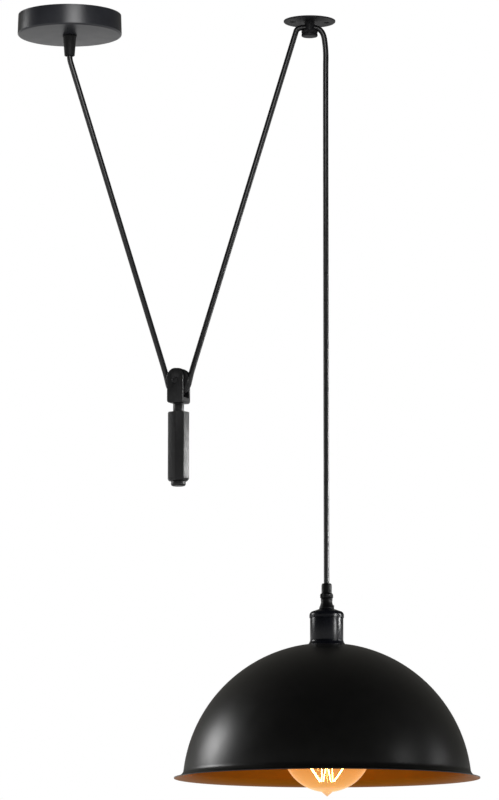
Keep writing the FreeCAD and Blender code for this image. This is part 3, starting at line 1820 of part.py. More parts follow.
def hook_wires(turn, out, height):
    """A support wire from the bulb's post to a hook, and the hook's crossbar."""
    radius = s.wireDiameter.value / 2
    angle = math.radians(turn)
    outward = vector(math.cos(angle), math.sin(angle), 0)
    start = hook_end(turn, out, height, -1)
    along = hook_end(turn, out, height, 1) - start
    spoke = Part.makeCylinder(radius, out, vector(s.lampAt.value, 0, height), outward)
    crossbar = Part.makeCylinder(radius, along.Length, start, along)
    return [spoke, crossbar]


def build_bulb_inside():
    x = s.lampAt.value
    cap_foot = (bulb_cap_top() - s.capLength).value
    foot = cap_foot - s.stemGlassLength.value
    flare = s.capRadius - s.threadDepth * 2 - s.glassWall
    turned_body(
        "bulb_stem",
        [
            (NONE, bulb_cap_top() - s.capLength + s.glassWall),
            (flare, bulb_cap_top() - s.capLength + s.glassWall),
            (s.stemGlassRadius, bulb_cap_top() - s.capLength - s.stemFlare),
            (s.stemGlassRadius / 2, bulb_cap_top() - s.capLength - s.stemGlassLength),
            (NONE, bulb_cap_top() - s.capLength - s.stemGlassLength),
        ],
        lamp_axis(),
    )
    wire = s.wireDiameter.value
    lower = (shade_top() - s.filamentFoot).value
    upper = (shade_top() - s.filamentTop).value
    below = lower - s.postBelow.value
    solids = [Part.makeCylinder(wire, foot - below, vector(x, 0, below))]
    step = 360.0 / HOOKS
    for number in range(HOOKS):
        solids += hook_wires(step * number, s.filamentSpread.value, upper)
        solids += hook_wires(step * (number + 0.5), s.filamentFootSpread.value, lower)
    filaments = []
    for number in range(HOOKS):
        turn = step * (number + 0.5)
        for side in (-1, 1):
            high = hook_end(turn + side * step / 2, s.filamentSpread.value, upper, -side)
            low = hook_end(turn, s.filamentFootSpread.value, lower, side)
            run = low - high
            gap = vector(run.x, run.y, run.z).normalize() * s.filamentGap.value
            length = run.Length - 2 * s.filamentGap.value
            radius = s.filamentDiameter.value / 2
            filaments.append(Part.makeCylinder(radius, length, high + gap, run))
    wires = solids[0].multiFuse(solids[1:])
    made = doc.addObject("Part::Feature", "bulb_supports")
    made.Shape = wires.removeSplitter()
    as_subpart(made, "bulb_supports")
    coils = doc.addObject("Part::Feature", "bulb_filaments")
    coils.Shape = Part.makeCompound(filaments)
    as_subpart(coils, "bulb_filaments")


def check_and_export():
    doc.recompute()
    for made in doc.Objects:
        if "Invalid" in made.State or "Error" in made.State:
            raise ValueError("%s did not build: %s" % (made.Label, made.State))
    for made in SUBPARTS:
        if made.Shape.isNull() or not made.Shape.isValid():
            raise ValueError(made.Label + " has no valid shape")
    os.makedirs("parts", exist_ok=True)
    for made in SUBPARTS:
        made.Shape.exportStep("parts/%s.step" % made.Label)
    print("%d sub-parts written" % len(SUBPARTS))


build_canopy()
build_bracket()
build_canopy_screws()
build_terminal_block()
build_earth_point()
build_canopy_grip()
build_rose_wiring()
build_guide()
build_fork()
build_wheel()
build_axle()
build_weight()
build_free_cord()
build_lamp_grip()
build_holder()
build_lamp_wiring()
build_shade()
build_bulb()
check_and_export()
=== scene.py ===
import bpy
import json
import math
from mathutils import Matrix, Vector

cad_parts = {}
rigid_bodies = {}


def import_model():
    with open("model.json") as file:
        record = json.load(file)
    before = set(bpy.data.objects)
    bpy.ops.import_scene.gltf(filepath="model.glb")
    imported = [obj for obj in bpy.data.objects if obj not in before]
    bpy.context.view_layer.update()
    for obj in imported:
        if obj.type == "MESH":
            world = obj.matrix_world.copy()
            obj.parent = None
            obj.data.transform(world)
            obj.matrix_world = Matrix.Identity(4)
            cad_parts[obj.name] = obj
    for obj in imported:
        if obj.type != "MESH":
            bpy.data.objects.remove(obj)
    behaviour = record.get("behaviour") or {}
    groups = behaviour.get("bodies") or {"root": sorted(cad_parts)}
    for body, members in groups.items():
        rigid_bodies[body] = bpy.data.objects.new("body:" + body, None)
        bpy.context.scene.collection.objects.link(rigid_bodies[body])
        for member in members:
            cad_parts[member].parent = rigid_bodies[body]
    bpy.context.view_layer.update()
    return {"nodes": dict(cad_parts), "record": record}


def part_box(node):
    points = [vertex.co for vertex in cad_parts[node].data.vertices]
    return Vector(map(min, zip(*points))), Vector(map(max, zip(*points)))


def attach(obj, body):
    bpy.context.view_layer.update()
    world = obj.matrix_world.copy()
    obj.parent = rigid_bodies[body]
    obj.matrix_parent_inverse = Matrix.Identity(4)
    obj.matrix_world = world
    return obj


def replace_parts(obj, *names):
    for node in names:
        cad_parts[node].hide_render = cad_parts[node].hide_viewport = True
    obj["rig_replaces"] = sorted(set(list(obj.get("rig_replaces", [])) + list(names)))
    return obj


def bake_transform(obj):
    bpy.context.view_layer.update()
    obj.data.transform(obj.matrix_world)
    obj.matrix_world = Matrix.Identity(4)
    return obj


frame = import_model()
scene = bpy.context.scene
nodes = frame["nodes"]


def span(node):
    # middle, top, bottom and outer radius of a part that is as wide as it is deep
    low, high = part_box(node)
    middle = ((low[0] + high[0]) / 2, (low[1] + high[1]) / 2)
    return middle, high[2], low[2], (high[0] - low[0]) / 2


# The ceiling is z = 0 and the rose is over the origin, in metres.
lampX = span("lamp_grip_nut")[0][0]
weightX = span("weight_bar")[0][0]
axleZ = -0.4276
forkTurn = math.radians(-30.4)
cordBore = 0.0036            # radius of the bores that the flex passes through


# The camera looks up a little at the lamp from far off.
cameraSetup = {
    "place": (-0.3274, -5.2008, -1.2038),
    "heading": 5.9,          # degrees from +Y towards +X
    "lookUp": 8.218,         # degrees
    "lens": 206.1,
    "sensor": 36.0,
}

camera = bpy.data.objects.new("photoCamera", bpy.data.cameras.new("photoCamera"))
scene.collection.objects.link(camera)
camera.location = cameraSetup["place"]
camera.rotation_euler = (
    math.radians(90 + cameraSetup["lookUp"]), 0, math.radians(-cameraSetup["heading"]))
camera.data.lens = cameraSetup["lens"]
camera.data.sensor_width = cameraSetup["sensor"]
camera.data.clip_start = 0.1
camera.data.clip_end = 90
camera.data.dof.use_dof = False
scene.camera = camera
print("camera set")


class Value:
    # one number of a shader, so that masks and mixes read as plain sums
    def __init__(self, tree, link):
        self.tree = tree
        self.link = link

    def math(self, operation, other, swap=False):
        node = self.tree.nodes.new("ShaderNodeMath")
        node.operation = operation
        sides = (other, self) if swap else (self, other)
        for socket, side in zip(node.inputs, sides):
            if isinstance(side, Value):
                self.tree.links.new(side.link, socket)
            elif side is not None:
                socket.default_value = side
        return Value(self.tree, node.outputs[0])

    def __add__(self, other):
        return self.math("ADD", other)

    def __radd__(self, other):
        return self.math("ADD", other, True)

    def __sub__(self, other):
        return self.math("SUBTRACT", other)

    def __rsub__(self, other):
        return self.math("SUBTRACT", other, True)

    def __mul__(self, other):
        return self.math("MULTIPLY", other)

    def __rmul__(self, other):
        return self.math("MULTIPLY", other, True)

    def __truediv__(self, other):
        return self.math("DIVIDE", other)

    def __pow__(self, other):
        return self.math("POWER", other)

    def clipped(self):
        return self.math("MAXIMUM", 0.0).math("MINIMUM", 1.0)


class Finish:
    # a material with its Principled shader and one way to add any other node
    def __init__(self, name, **sockets):
        self.material = bpy.data.materials.new(name)
        self.material.use_nodes = True
        self.tree = self.material.node_tree
        self.shader = self.tree.nodes["Principled BSDF"]
        self.dress(sockets)

    def dress(self, sockets, node=None):
        for label, content in sockets.items():
            socket = (node or self.shader).inputs[label.replace("_", " ")]
            if isinstance(content, Value):
                self.tree.links.new(content.link, socket)
            elif isinstance(content, bpy.types.NodeSocket):
                self.tree.links.new(content, socket)
            else:
                socket.default_value = content

    def node(self, kind, settings=None, **sockets):
        made = self.tree.nodes.new("ShaderNode" + kind)
        for label, content in (settings or {}).items():
            setattr(made, label, content)
        self.dress(sockets, made)
        return made

    def value(self, node, output=0):
        return Value(self.tree, node.outputs[output])

    def place(self):
        return self.node("TexCoord").outputs["Object"]

    def axis(self, letter):
        return self.value(self.node("SeparateXYZ", Vector=self.place()), letter)

    def noise(self, scale, detail=2.0, stretch=None):
        where = self.place()
        if stretch:
            where = self.node("Mapping", Vector=where, Scale=stretch).outputs[0]
        return self.value(self.node("TexNoise", Vector=where, Scale=scale, Detail=detail), "Fac")

    def between(self, mask, dark, light):
        mix = self.node("Mix", {"data_type": "RGBA"})
        self.tree.links.new(mask.link, mix.inputs[0])
        for socket, content in ((mix.inputs[6], dark), (mix.inputs[7], light)):
            if isinstance(content, bpy.types.NodeSocket):
                self.tree.links.new(content, socket)
            else:
                socket.default_value = (*content, 1)
        return mix.outputs[2]

    def bump(self, height, strength, distance=0.0002):
        made = self.node("Bump", Height=height, Strength=strength, Distance=distance)
        self.dress({"Normal": made.outputs[0]})


def scaled(colour, share):
    return [part * share for part in colour]


def paint(name, colour, rough, gloss=0.5, peel=0.12, grain=900.0):
    # sprayed lacquer with a faint orange peel, a little dust and thin places
    made = Finish(name, Specular_IOR_Level=gloss)
    cloud = made.noise(55.0, 3.0)
    dust = made.noise(2600.0, 1.0)
    made.dress({
        "Base Color": made.between(cloud, scaled(colour, 0.8), scaled(colour, 1.3)),
        "Roughness": rough + (cloud - 0.5) * 0.1 + (dust - 0.5) * 0.06,
    })
    made.bump(made.noise(grain, 2.0), peel)
    return made.material


def castSteel(name, colour, rough):
    # blackened steel with a fine tooth and rubbed spots
    made = Finish(name, Specular_IOR_Level=0.5)
    tooth = made.noise(1900.0, 3.0)
    rubbed = ((made.noise(140.0, 4.0) - 0.52) * 6.0).clipped()
    made.dress({
        "Base Color": made.between(rubbed, colour, scaled(colour, 1.7)),
        "Roughness": rough + (tooth - 0.5) * 0.16 - rubbed * 0.05,
    })
    made.bump(tooth, 0.35)
    return made.material


def bareMetal(name, colour, rough, stretch=(1, 1, 12)):
    made = Finish(name, Metallic=1.0)
    lines = made.noise(240.0, 3.0, stretch)
    made.dress({
        "Base Color": made.between(lines, scaled(colour, 0.82), colour),
        "Roughness": rough + (lines - 0.5) * 0.2,
    })
    made.bump(lines, 0.1, 0.0001)
    return made.material


def rubberFlex(name):
    made = Finish(name, Specular_IOR_Level=0.6)
    drawn = made.noise(400.0, 2.0, (1, 1, 0.2))
    made.dress({
        "Base Color": made.between(drawn, (0.006, 0.006, 0.0065), (0.012, 0.012, 0.013)),
        "Roughness": 0.24 + drawn * 0.1,
    })
    made.bump(made.noise(1400.0, 2.0), 0.08, 0.0001)
    return made.material


def plastic(name, colour, rough, depth=0.25, gloss=0.5):
    made = Finish(name, Specular_IOR_Level=gloss)
    grain = made.noise(1500.0, 3.0)
    made.dress({
        "Base Color": made.between(grain, scaled(colour, 0.85), colour),
        "Roughness": rough + (grain - 0.5) * 0.1,
    })
    made.bump(grain, depth)
    return made.material


def clearStem(name):
    made = Finish(name, IOR=1.45, Transmission_Weight=1.0)
    haze = made.noise(30.0, 2.0)
    made.dress({
        "Base Color": made.between(haze, (0.95, 0.94, 0.91), (0.98, 0.97, 0.94)),
        "Roughness": haze * 0.02,
    })
    return made.material


bulbGlow = {
    "pale": -0.892,          # pale below this height, amber above the next, in the glass's faint tint and in its painted glow
    "amber": -0.845,
    "paleTint": (1.0, 0.50, 0.13),
    "amberTint": (1.0, 0.27, 0.02),
    "paintedGlow": 0.75,
    "body": 0.12,            # share of the tint in the glass itself
    "middle": 0.36,          # how solid the glass looks in its middle, and at its rim
    "rim": 0.72,
}


def bulbGlassPaintedGlow(name):
    # thin amber glass that lets the filaments' light through, and that also glows by itself with a
    # painted glow, paler towards the tip
    made = Finish(name, IOR=1.45, Emission_Strength=bulbGlow["paintedGlow"])
    height = made.axis("Z")
    run = bulbGlow["amber"] - bulbGlow["pale"]
    amber = ((height - bulbGlow["pale"]) / run).clipped()
    facing = made.value(made.node("LayerWeight", Blend=0.35), "Facing")
    haze = made.noise(26.0, 2.0)
    reach = bulbGlow["rim"] - bulbGlow["middle"]
    made.dress({
        "Base Color": made.between(amber, scaled(bulbGlow["paleTint"], bulbGlow["body"]),
                                   scaled(bulbGlow["amberTint"], bulbGlow["body"])),
        # painted glow: the glass emits light of its own, pale at the tip and amber higher up
        "Emission Color": made.between(amber, bulbGlow["paleTint"], bulbGlow["amberTint"]),
        "Roughness": haze * 0.04,
        "Alpha": (facing ** 2.0) * reach + bulbGlow["middle"] + (haze - 0.5) * 0.05,
    })
    return made.material


def shadeGold(name):
    # warm gold lacquer, a little cloudy
    made = Finish(name, Metallic=0.5, Specular_IOR_Level=0.05)
    cloud = made.noise(16.0, 3.0)
    fine = made.noise(800.0, 2.0)
    made.dress({
        "Base Color": made.between(cloud, (0.34, 0.108, 0.003), (0.41, 0.14, 0.006)),
        "Roughness": 0.42 + (fine - 0.5) * 0.14,
    })
    made.bump(fine, 0.12)
    return made.material


def glowing(name, colour, strength):
    made = Finish(name, Emission_Strength=strength)
    uneven = made.noise(900.0, 1.0)
    hot = made.between(uneven, scaled(colour, 0.75), colour)
    made.dress({"Base Color": hot, "Emission Color": hot})
    return made.material


finishes = {
    "black_lacquer": paint("holderLacquer", (0.0025, 0.003, 0.0052), 0.27, gloss=0.3,
                           peel=0.015),
    "shade_metal": paint("shadeLacquer", (0.0046, 0.0045, 0.0040), 0.36, grain=1100.0, peel=0.1),
    "weight_steel": castSteel("weightSteel", (0.008, 0.008, 0.0085), 0.38),
    "grip_black": plastic("gripBlack", (0.0025, 0.0025, 0.0027), 0.42, 0.3, 0.2),
    "flex_sheath": rubberFlex("flexSheath"),
    "core_brown": plastic("coreBrown", (0.2, 0.08, 0.03), 0.4, 0.1),
    "core_blue": plastic("coreBlue", (0.03, 0.1, 0.42), 0.4, 0.1),
    "core_green": plastic("coreGreen", (0.1, 0.4, 0.1), 0.4, 0.1),
    "zinc_steel": bareMetal("zincSteel", (0.62, 0.63, 0.65), 0.34),
    "black_screws": paint("blackScrews", (0.014, 0.014, 0.015), 0.3, grain=1500.0, peel=0.1),
    "brass_parts": bareMetal("brassParts", (0.80, 0.55, 0.22), 0.26),
    "block_nylon": plastic("blockNylon", (0.82, 0.82, 0.79), 0.5),
    "wheel_nylon": plastic("wheelNylon", (0.010, 0.010, 0.011), 0.34, 0.15),
    "socket_ceramic": plastic("socketCeramic", (0.78, 0.75, 0.7), 0.6),
    "bulb_glass": bulbGlassPaintedGlow("bulbGlassPaintedGlow"),
    "stem_glass": clearStem("stemGlass"),
    "filament": glowing("filamentGlow", (1.0, 0.45, 0.1), 170.0),
    "bulb_insulator": plastic("insulatorBlack", (0.02, 0.02, 0.03), 0.3),
}
# a lighter copy of the black lacquer for the rose: partly its own bluish tone, partly painted
# light for how brightly the rose is lit
roseLacquerPaintedLight = paint("roseLacquerPaintedLight", (0.015, 0.016, 0.0205), 0.33, gloss=0.7)
guideLacquer = paint("guideLacquer", (0.008, 0.008, 0.0095), 0.5, gloss=0.25)
# a lighter copy of the grip black for the rose's grip: painted light for how brightly it is lit
roseGripBlackPaintedLight = plastic("roseGripBlackPaintedLight", (0.006, 0.006, 0.0065), 0.48, 0.4, 0.25)
goldInside = shadeGold("shadeGold")
nodeFinishes = {"guide_plate": guideLacquer, "guide_post": guideLacquer}
print("finishes ready:", len(bpy.data.materials))


bightRoute = {
    "diameter": 0.0065,
    "length": 0.889,
    "points": [
        (0, 0, -0.04495), (0, 0, -0.0517), (0.00296, 0.00022, -0.06125),
        (0.01155, 0.00085, -0.08894), (0.10214, 0.00749, -0.38113),
        (0.11369, 0.00834, -0.41838), (0.11508, 0.00752, -0.42471),
        (0.11782, 0.00591, -0.43724), (0.1279, 0, -0.44275), (0.13798, -0.00591, -0.43724),
        (0.14072, -0.00752, -0.42471), (0.14211, -0.00834, -0.41838),
        (0.1534, -0.00758, -0.38105), (0.25492, -0.00076, -0.04522),
        (0.26331, -0.00019, -0.01747), (0.2662, 0, -0.0079), (0.27605, 0, -0.0079),
    ],
}
dropRoute = {
    "diameter": 0.0065,
    "length": 0.661,
    "points": [
        (0.28515, 0, -0.0079), (0.2962, 0, -0.0079), (0.3001, 0, -0.0357),
        (0.2991, 0, -0.0615), (0.2991, 0, -0.6604),
    ],
}


def pick(obj):
    # selects one object alone
    if bpy.context.object and bpy.context.object.mode != "OBJECT":
        bpy.ops.object.mode_set(mode="OBJECT")
    bpy.ops.object.select_all(action="DESELECT")
    if obj:
        obj.select_set(True)
        bpy.context.view_layer.objects.active = obj


def routeCurve(name, route, thick):
    curve = bpy.data.curves.new(name, "CURVE")
    curve.dimensions = "3D"
    spline = curve.splines.new("NURBS")
    spline.points.add(len(route["points"]) - 1)
    for point, place in zip(spline.points, route["points"]):
        point.co = (*place, 1)
    spline.order_u = 3
    spline.use_endpoint_u = True
    curve.resolution_u = 16
    curve.twist_mode = "MINIMUM"
    if thick:
        curve.bevel_depth = route["diameter"] / 2
        curve.bevel_resolution = 6
        curve.use_fill_caps = True
    made = bpy.data.objects.new(name, curve)
    scene.collection.objects.link(made)
    return made


def routeLine(name, route):
    made = routeCurve(name + "Line", route, False)
    line = bpy.data.meshes.new_from_object(made)
    path = [tuple(vertex.co) for vertex in line.vertices]
    bpy.data.meshes.remove(line)
    bpy.data.objects.remove(made)
    return path


def makeCord(name, route, covered):
    path = routeLine(name, route)
    pick(routeCurve(name, route, True))
    bpy.ops.object.convert(target="MESH")
    made = bpy.context.object
    bpy.ops.object.shade_smooth()
    made.data.materials.clear()
    made.data.materials.append(finishes["flex_sheath"])
    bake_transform(made)
    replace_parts(made, *covered)


makeCord("cordBight", bightRoute,
         ("cord_left_leg", "cord_right_leg", "cord_on_wheel"))
makeCord("cordDrop", dropRoute,
         ("cord_drop",))
print("cords laid")


def startEdit(obj, mode="VERT", action="SELECT"):
    # opens a mesh for editing with all or none of it selected
    pick(obj)
    bpy.ops.object.mode_set(mode="EDIT")
    bpy.ops.mesh.select_mode(type=mode)
    bpy.ops.mesh.select_all(action=action)


def applyPlace(obj):
    pick(obj)
    bpy.ops.object.transform_apply(location=True, rotation=True, scale=True)


def turned(name, centre, profile, sides=96):
    # a ring that is extruded and scaled from one radius to the next, as on a lathe
    pick(None)
    radius, height = profile[0]
    bpy.ops.mesh.primitive_circle_add(
        vertices=sides, radius=radius, location=(centre[0], centre[1], height))
    made = bpy.context.object
    made.name = name
    bpy.ops.object.mode_set(mode="EDIT")
    bpy.ops.mesh.select_all(action="SELECT")
    for nextRadius, nextHeight in profile[1:]:
        bpy.ops.mesh.extrude_edges_move(
            TRANSFORM_OT_translate={"value": (0, 0, nextHeight - height)})
        share = nextRadius / radius
        bpy.ops.transform.resize(
            value=(share, share, 1), center_override=(centre[0], centre[1], nextHeight))
        radius, height = nextRadius, nextHeight
    applyPlace(made)
    return made


def settle(obj, sharp=35.0):
    # closes seams and turns the faces outwards
    startEdit(obj)
    bpy.ops.mesh.remove_doubles(threshold=0.000002)
    bpy.ops.mesh.normals_make_consistent(inside=False)
    bpy.ops.object.mode_set(mode="OBJECT")
    bpy.ops.object.shade_smooth_by_angle(angle=math.radians(sharp))
    return obj


def addModifier(obj, kind, **settings):
    pick(obj)
    made = obj.modifiers.new(kind.lower(), kind)
    for label, content in settings.items():
        setattr(made, label, content)
    bpy.ops.object.modifier_apply(modifier=made.name)


def closeEnds(obj, heights):
    # fills the open rings that lie at these heights
    for height in heights:
        startEdit(obj, "VERT", "DESELECT")
        bpy.ops.object.mode_set(mode="OBJECT")
        for vertex in obj.data.vertices:
            vertex.select = abs(vertex.co.z - height) < 0.000005
        bpy.ops.object.mode_set(mode="EDIT")
        bpy.ops.mesh.edge_face_add()
        bpy.ops.object.mode_set(mode="OBJECT")


def dressed(obj, body, slot, covered, finish=None):
    obj.data.materials.clear()
    obj.data.materials.append(finish or finishes[slot])
    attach(obj, body)
    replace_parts(obj, covered)
    return obj


def arcPoints(centre, radius, first, last, steps):
    # radius and height along an arc, in degrees from level
    found = []
    for step in range(steps + 1):
        turn = math.radians(first + (last - first) * step / steps)
        found.append((centre[0] + radius * math.cos(turn), centre[1] + radius * math.sin(turn)))
    return found


def eased(outline, width, steps=3):
    # an outline whose sharp corners each become a small round
    found = [outline[0]]
    for before, corner, after in zip(outline, outline[1:], outline[2:]):
        bend = Vector(corner)
        intoIt, outOfIt = bend - Vector(before), Vector(after) - bend
        if intoIt.length == 0 or outOfIt.length == 0 or intoIt.angle(outOfIt) < 0.35:
            found.append(corner)
            continue
        cut = min(width, intoIt.length * 0.45, outOfIt.length * 0.45)
        start = bend - intoIt.normalized() * cut
        end = bend + outOfIt.normalized() * cut
        for step in range(steps + 1):
            share = step / steps
            point = start * (1 - share) ** 2 + bend * 2 * share * (1 - share) + end * share ** 2
            found.append((point.x, point.y))
    return found + [outline[-1]]


def ribbed(obj, centre, count, depth, wanted):
    # presses grooves for the fingers into the rings that wanted picks by radius and height
    for vertex in obj.data.vertices:
        across = Vector((vertex.co.x - centre[0], vertex.co.y - centre[1], 0))
        if wanted(across.length, vertex.co.z):
            turn = math.atan2(across.y, across.x) * count / (2 * math.pi)
            across.length -= depth * (0.5 - 0.5 * math.cos(2 * math.pi * turn))
            vertex.co.x, vertex.co.y = centre[0] + across.x, centre[1] + across.y


def bored(obj, radius, start, end):
    # drills a round hole from start to end
    run = Vector(end) - Vector(start)
    pick(None)
    bpy.ops.mesh.primitive_cylinder_add(
        vertices=40, radius=radius, depth=run.length, location=(Vector(start) + Vector(end)) / 2,
        rotation=run.to_track_quat("Z", "Y").to_euler())
    cutter = bpy.context.object
    addModifier(obj, "BOOLEAN", object=cutter, operation="DIFFERENCE")
    bpy.data.objects.remove(cutter)


def mergedCopy(name, node):
    # a copy of a CAD node whose loose triangles are joined
    made = bpy.data.objects.new(name, nodes[node].data.copy())
    scene.collection.objects.link(made)
    made.matrix_world = nodes[node].matrix_world.copy()
    startEdit(made)
    bpy.ops.mesh.remove_doubles(threshold=0.000002)
    bpy.ops.mesh.dissolve_limited(angle_limit=math.radians(1.0))
    applyPlace(made)
    return made


rose = {
    "taper": 0.0007,
    "wall": 0.0012,
    "edge": 0.0022,
    "bore": 0.005,
    "ceiling": -0.00002,     # the rim's hair of room under the ceiling
}


def makeCanopy():
    middle, _, low, outer = span("canopy")
    edge, wall = rose["edge"], rose["wall"]
    rim = outer - rose["taper"]
    profile = [(rim - wall, rose["ceiling"]), (rim, rose["ceiling"]), (outer, low + edge)]
    profile += arcPoints((outer - edge, low + edge), edge, 0, -90, 8)[1:]
    profile += [(rose["bore"], low), (rose["bore"], low + wall), (outer - edge, low + wall)]
    profile += arcPoints((outer - edge, low + edge), edge - wall, -90, 0, 5)[1:]
    made = settle(turned("canopyShell", middle, profile + profile[:1], 160))
    dressed(made, "rose", "black_lacquer", "canopy", roseLacquerPaintedLight)


roseGrip = {
    "thread": 0.005,
    "threadLength": 0.007,
    "flangeHeight": 0.0018,
    "neck": 0.0076,
    "foot": 0.00595,
    "mouth": 0.0048,
    "mouthDepth": 0.005,
    "ease": 0.00045,
    "screw": 0.0015,
    "edge": 0.0004,          # chamfer of the lower edge
    "screwFrom": 0.002,      # the clamp screw's bore, from the flex out
    "screwTo": 0.012,
}


def makeCanopyGrip():
    middle, top, bottom, flange = span("canopy_grip")
    face = top - roseGrip["threadLength"]
    under = face - roseGrip["flangeHeight"]
    outline = [(cordBore, top), (roseGrip["thread"], top), (roseGrip["thread"], face),
               (flange, face), (flange, under), (roseGrip["neck"], under)]
    outline += [(roseGrip["foot"], bottom + roseGrip["edge"]),
                (roseGrip["foot"] - roseGrip["edge"], bottom),
                (roseGrip["mouth"], bottom), (cordBore, bottom + roseGrip["mouthDepth"])]
    made = turned("canopyGripShell", middle, eased(outline, roseGrip["ease"]) + outline[:1])
    settle(made)
    low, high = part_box("canopy_grip_screw")
    height = (low[2] + high[2]) / 2
    bored(made, roseGrip["screw"], (0, roseGrip["screwFrom"], height),
          (0, roseGrip["screwTo"], height))
    dressed(settle(made), "rose", "grip_black", "canopy_grip", roseGripBlackPaintedLight)


makeCanopy()
makeCanopyGrip()
print("rose dressed")


guideNut = {
    "edge": 0.0014,
    "bore": 0.0059,
    "floor": 0.0016,
    "groove": 0.0006,        # depth of the groove round the nut
    "grooveHalf": 0.0008,
    "ribs": 36,
    "ribDepth": 0.0004,
    "ease": 0.0003,
}


def makeGuideNut():
    middle, top, bottom, outer = span("guide_nut")
    halfway = (top + bottom) / 2
    edge, deep, wide = guideNut["edge"], guideNut["groove"], guideNut["grooveHalf"]
    outline = [(guideNut["bore"], bottom + guideNut["floor"]), (guideNut["bore"], top),
               (outer, top), (outer, halfway + wide), (outer - deep, halfway + wide / 2),
               (outer - deep, halfway - wide / 2), (outer, halfway - wide)]
    outline += arcPoints((outer - edge, bottom + edge), edge, 0, -90, 6)
    made = turned("guideNutShell", middle, eased(outline, guideNut["ease"]), guideNut["ribs"] * 6)
    ribbed(made, middle, guideNut["ribs"], guideNut["ribDepth"],
           lambda radius, height: radius > outer - 0.00002 and height > halfway)
    closeEnds(made, [bottom, bottom + guideNut["floor"]])
    dressed(settle(made, 28), "rose", "black_lacquer", "guide_nut", guideLacquer)


makeGuideNut()
print("guide dressed")


weight = {
    "thread": 0.004,
    "ease": 0.00035,
    "footRound": 0.0036,
    "plugRound": 0.0022,
    "plugDepth": 0.0055,
    "forkEase": 0.0004,
    "stemStep": 0.0059,      # the stem's thread in the fork's web
    "stemShow": 0.0104,
}


def makeStem():
    middle, top, bottom, outer = span("fork_stem")
    thread, shoulder = weight["thread"], top - weight["stemStep"]
    foot = shoulder - weight["stemShow"]
    outline = [(thread, top), (thread, shoulder), (outer, shoulder), (outer, foot),
               (thread, foot), (thread, bottom)]
    made = turned("forkStemPin", middle, eased(outline, weight["ease"]))
    closeEnds(made, [top, bottom])
    dressed(settle(made), "counterweight", "weight_steel", "fork_stem")


def makeBar():
    middle, top, bottom, half = span("weight_bar")
    pick(None)
    bpy.ops.mesh.primitive_cylinder_add(
        vertices=8, radius=half / math.cos(math.radians(22.5)), depth=top - bottom,
        location=(*middle, (top + bottom) / 2), rotation=(0, 0, math.radians(22.5)))
    made = bpy.context.object
    made.name = "weightBarForged"
    applyPlace(made)
    startEdit(made, "EDGE", "DESELECT")
    bpy.ops.object.mode_set(mode="OBJECT")
    points = made.data.vertices
    for edge in made.data.edges:
        edge.select = all(points[end].co.z < bottom + 0.0001 for end in edge.vertices)
    bpy.ops.object.mode_set(mode="EDIT")
    bpy.ops.mesh.bevel(offset=weight["footRound"], segments=9, affect="EDGES")
    bpy.ops.object.mode_set(mode="OBJECT")
    addModifier(made, "BEVEL", width=weight["ease"], segments=3, limit_method="ANGLE",
                angle_limit=math.radians(24), use_clamp_overlap=False)
    dressed(settle(made, 30), "counterweight", "weight_steel", "weight_bar")


def makePlug():
    middle, top, bottom, outer = span("weight_plug")
    thread, face = weight["thread"], bottom + weight["plugDepth"]
    arc = weight["plugRound"]
    outline = [(thread, top), (thread, face), (outer, face), (outer, bottom + arc)]
    outline += arcPoints((outer - arc, bottom + arc), arc, 0, -90, 8)[1:]
    made = turned("weightPlugTurned", middle, eased(outline, weight["ease"]))
    closeEnds(made, [top, bottom])
    dressed(settle(made), "counterweight", "weight_steel", "weight_plug")


def makeFork():
    made = mergedCopy("forkForged", "fork")
    addModifier(made, "BEVEL", width=weight["forkEase"], segments=3, limit_method="ANGLE",
                angle_limit=math.radians(50), use_clamp_overlap=False)
    dressed(settle(made, 30), "counterweight", "weight_steel", "fork")


axle = {
    "head": 0.0035,
    "headHeight": 0.0012,
    "shaft": 0.0015,
    "shaftEnd": 0.001,       # along the axle from the wheel's middle
    "face": 0.0105,
    "socket": 0.00196,       # corner radius of the hexagon
    "socketDepth": 0.0009,
    "brow": 0.0006,          # the head's edge slopes in by this and down by the next
    "browDepth": 0.0005,
    "ease": 0.0003,
}


def makeAxleScrew():
    outside = axle["face"] + axle["headHeight"]
    outline = [(axle["shaft"], axle["shaftEnd"]), (axle["shaft"], axle["face"]),
               (axle["head"], axle["face"]), (axle["head"], outside - axle["browDepth"]),
               (axle["head"] - axle["brow"], outside), (axle["socket"] * 1.3, outside)]
    made = turned("axleScrewHead", (0, 0), eased(outline, axle["ease"]), 72)
    closeEnds(made, [axle["shaftEnd"], outside])
    settle(made)
    pick(None)
    bpy.ops.mesh.primitive_cylinder_add(
        vertices=6, radius=axle["socket"], depth=axle["socketDepth"] * 2, location=(0, 0, outside))
    cutter = bpy.context.object
    addModifier(made, "BOOLEAN", object=cutter, operation="DIFFERENCE")
    bpy.data.objects.remove(cutter)
    made.rotation_euler = (math.radians(90), 0, forkTurn)
    made.location = (weightX, 0, axleZ)
    applyPlace(made)
    dressed(settle(made), "counterweight", "black_screws", "axle_screw")


wheel = {
    "half": 0.0055,
    "hub": 0.0075,
    "hubHalf": 0.0065,
    "bore": 0.0042,
    "rim": 0.0145,
    "edge": 0.0007,
    "pitch": 0.0137,
    "groove": 0.00355,
    "ease": 0.0003,
}


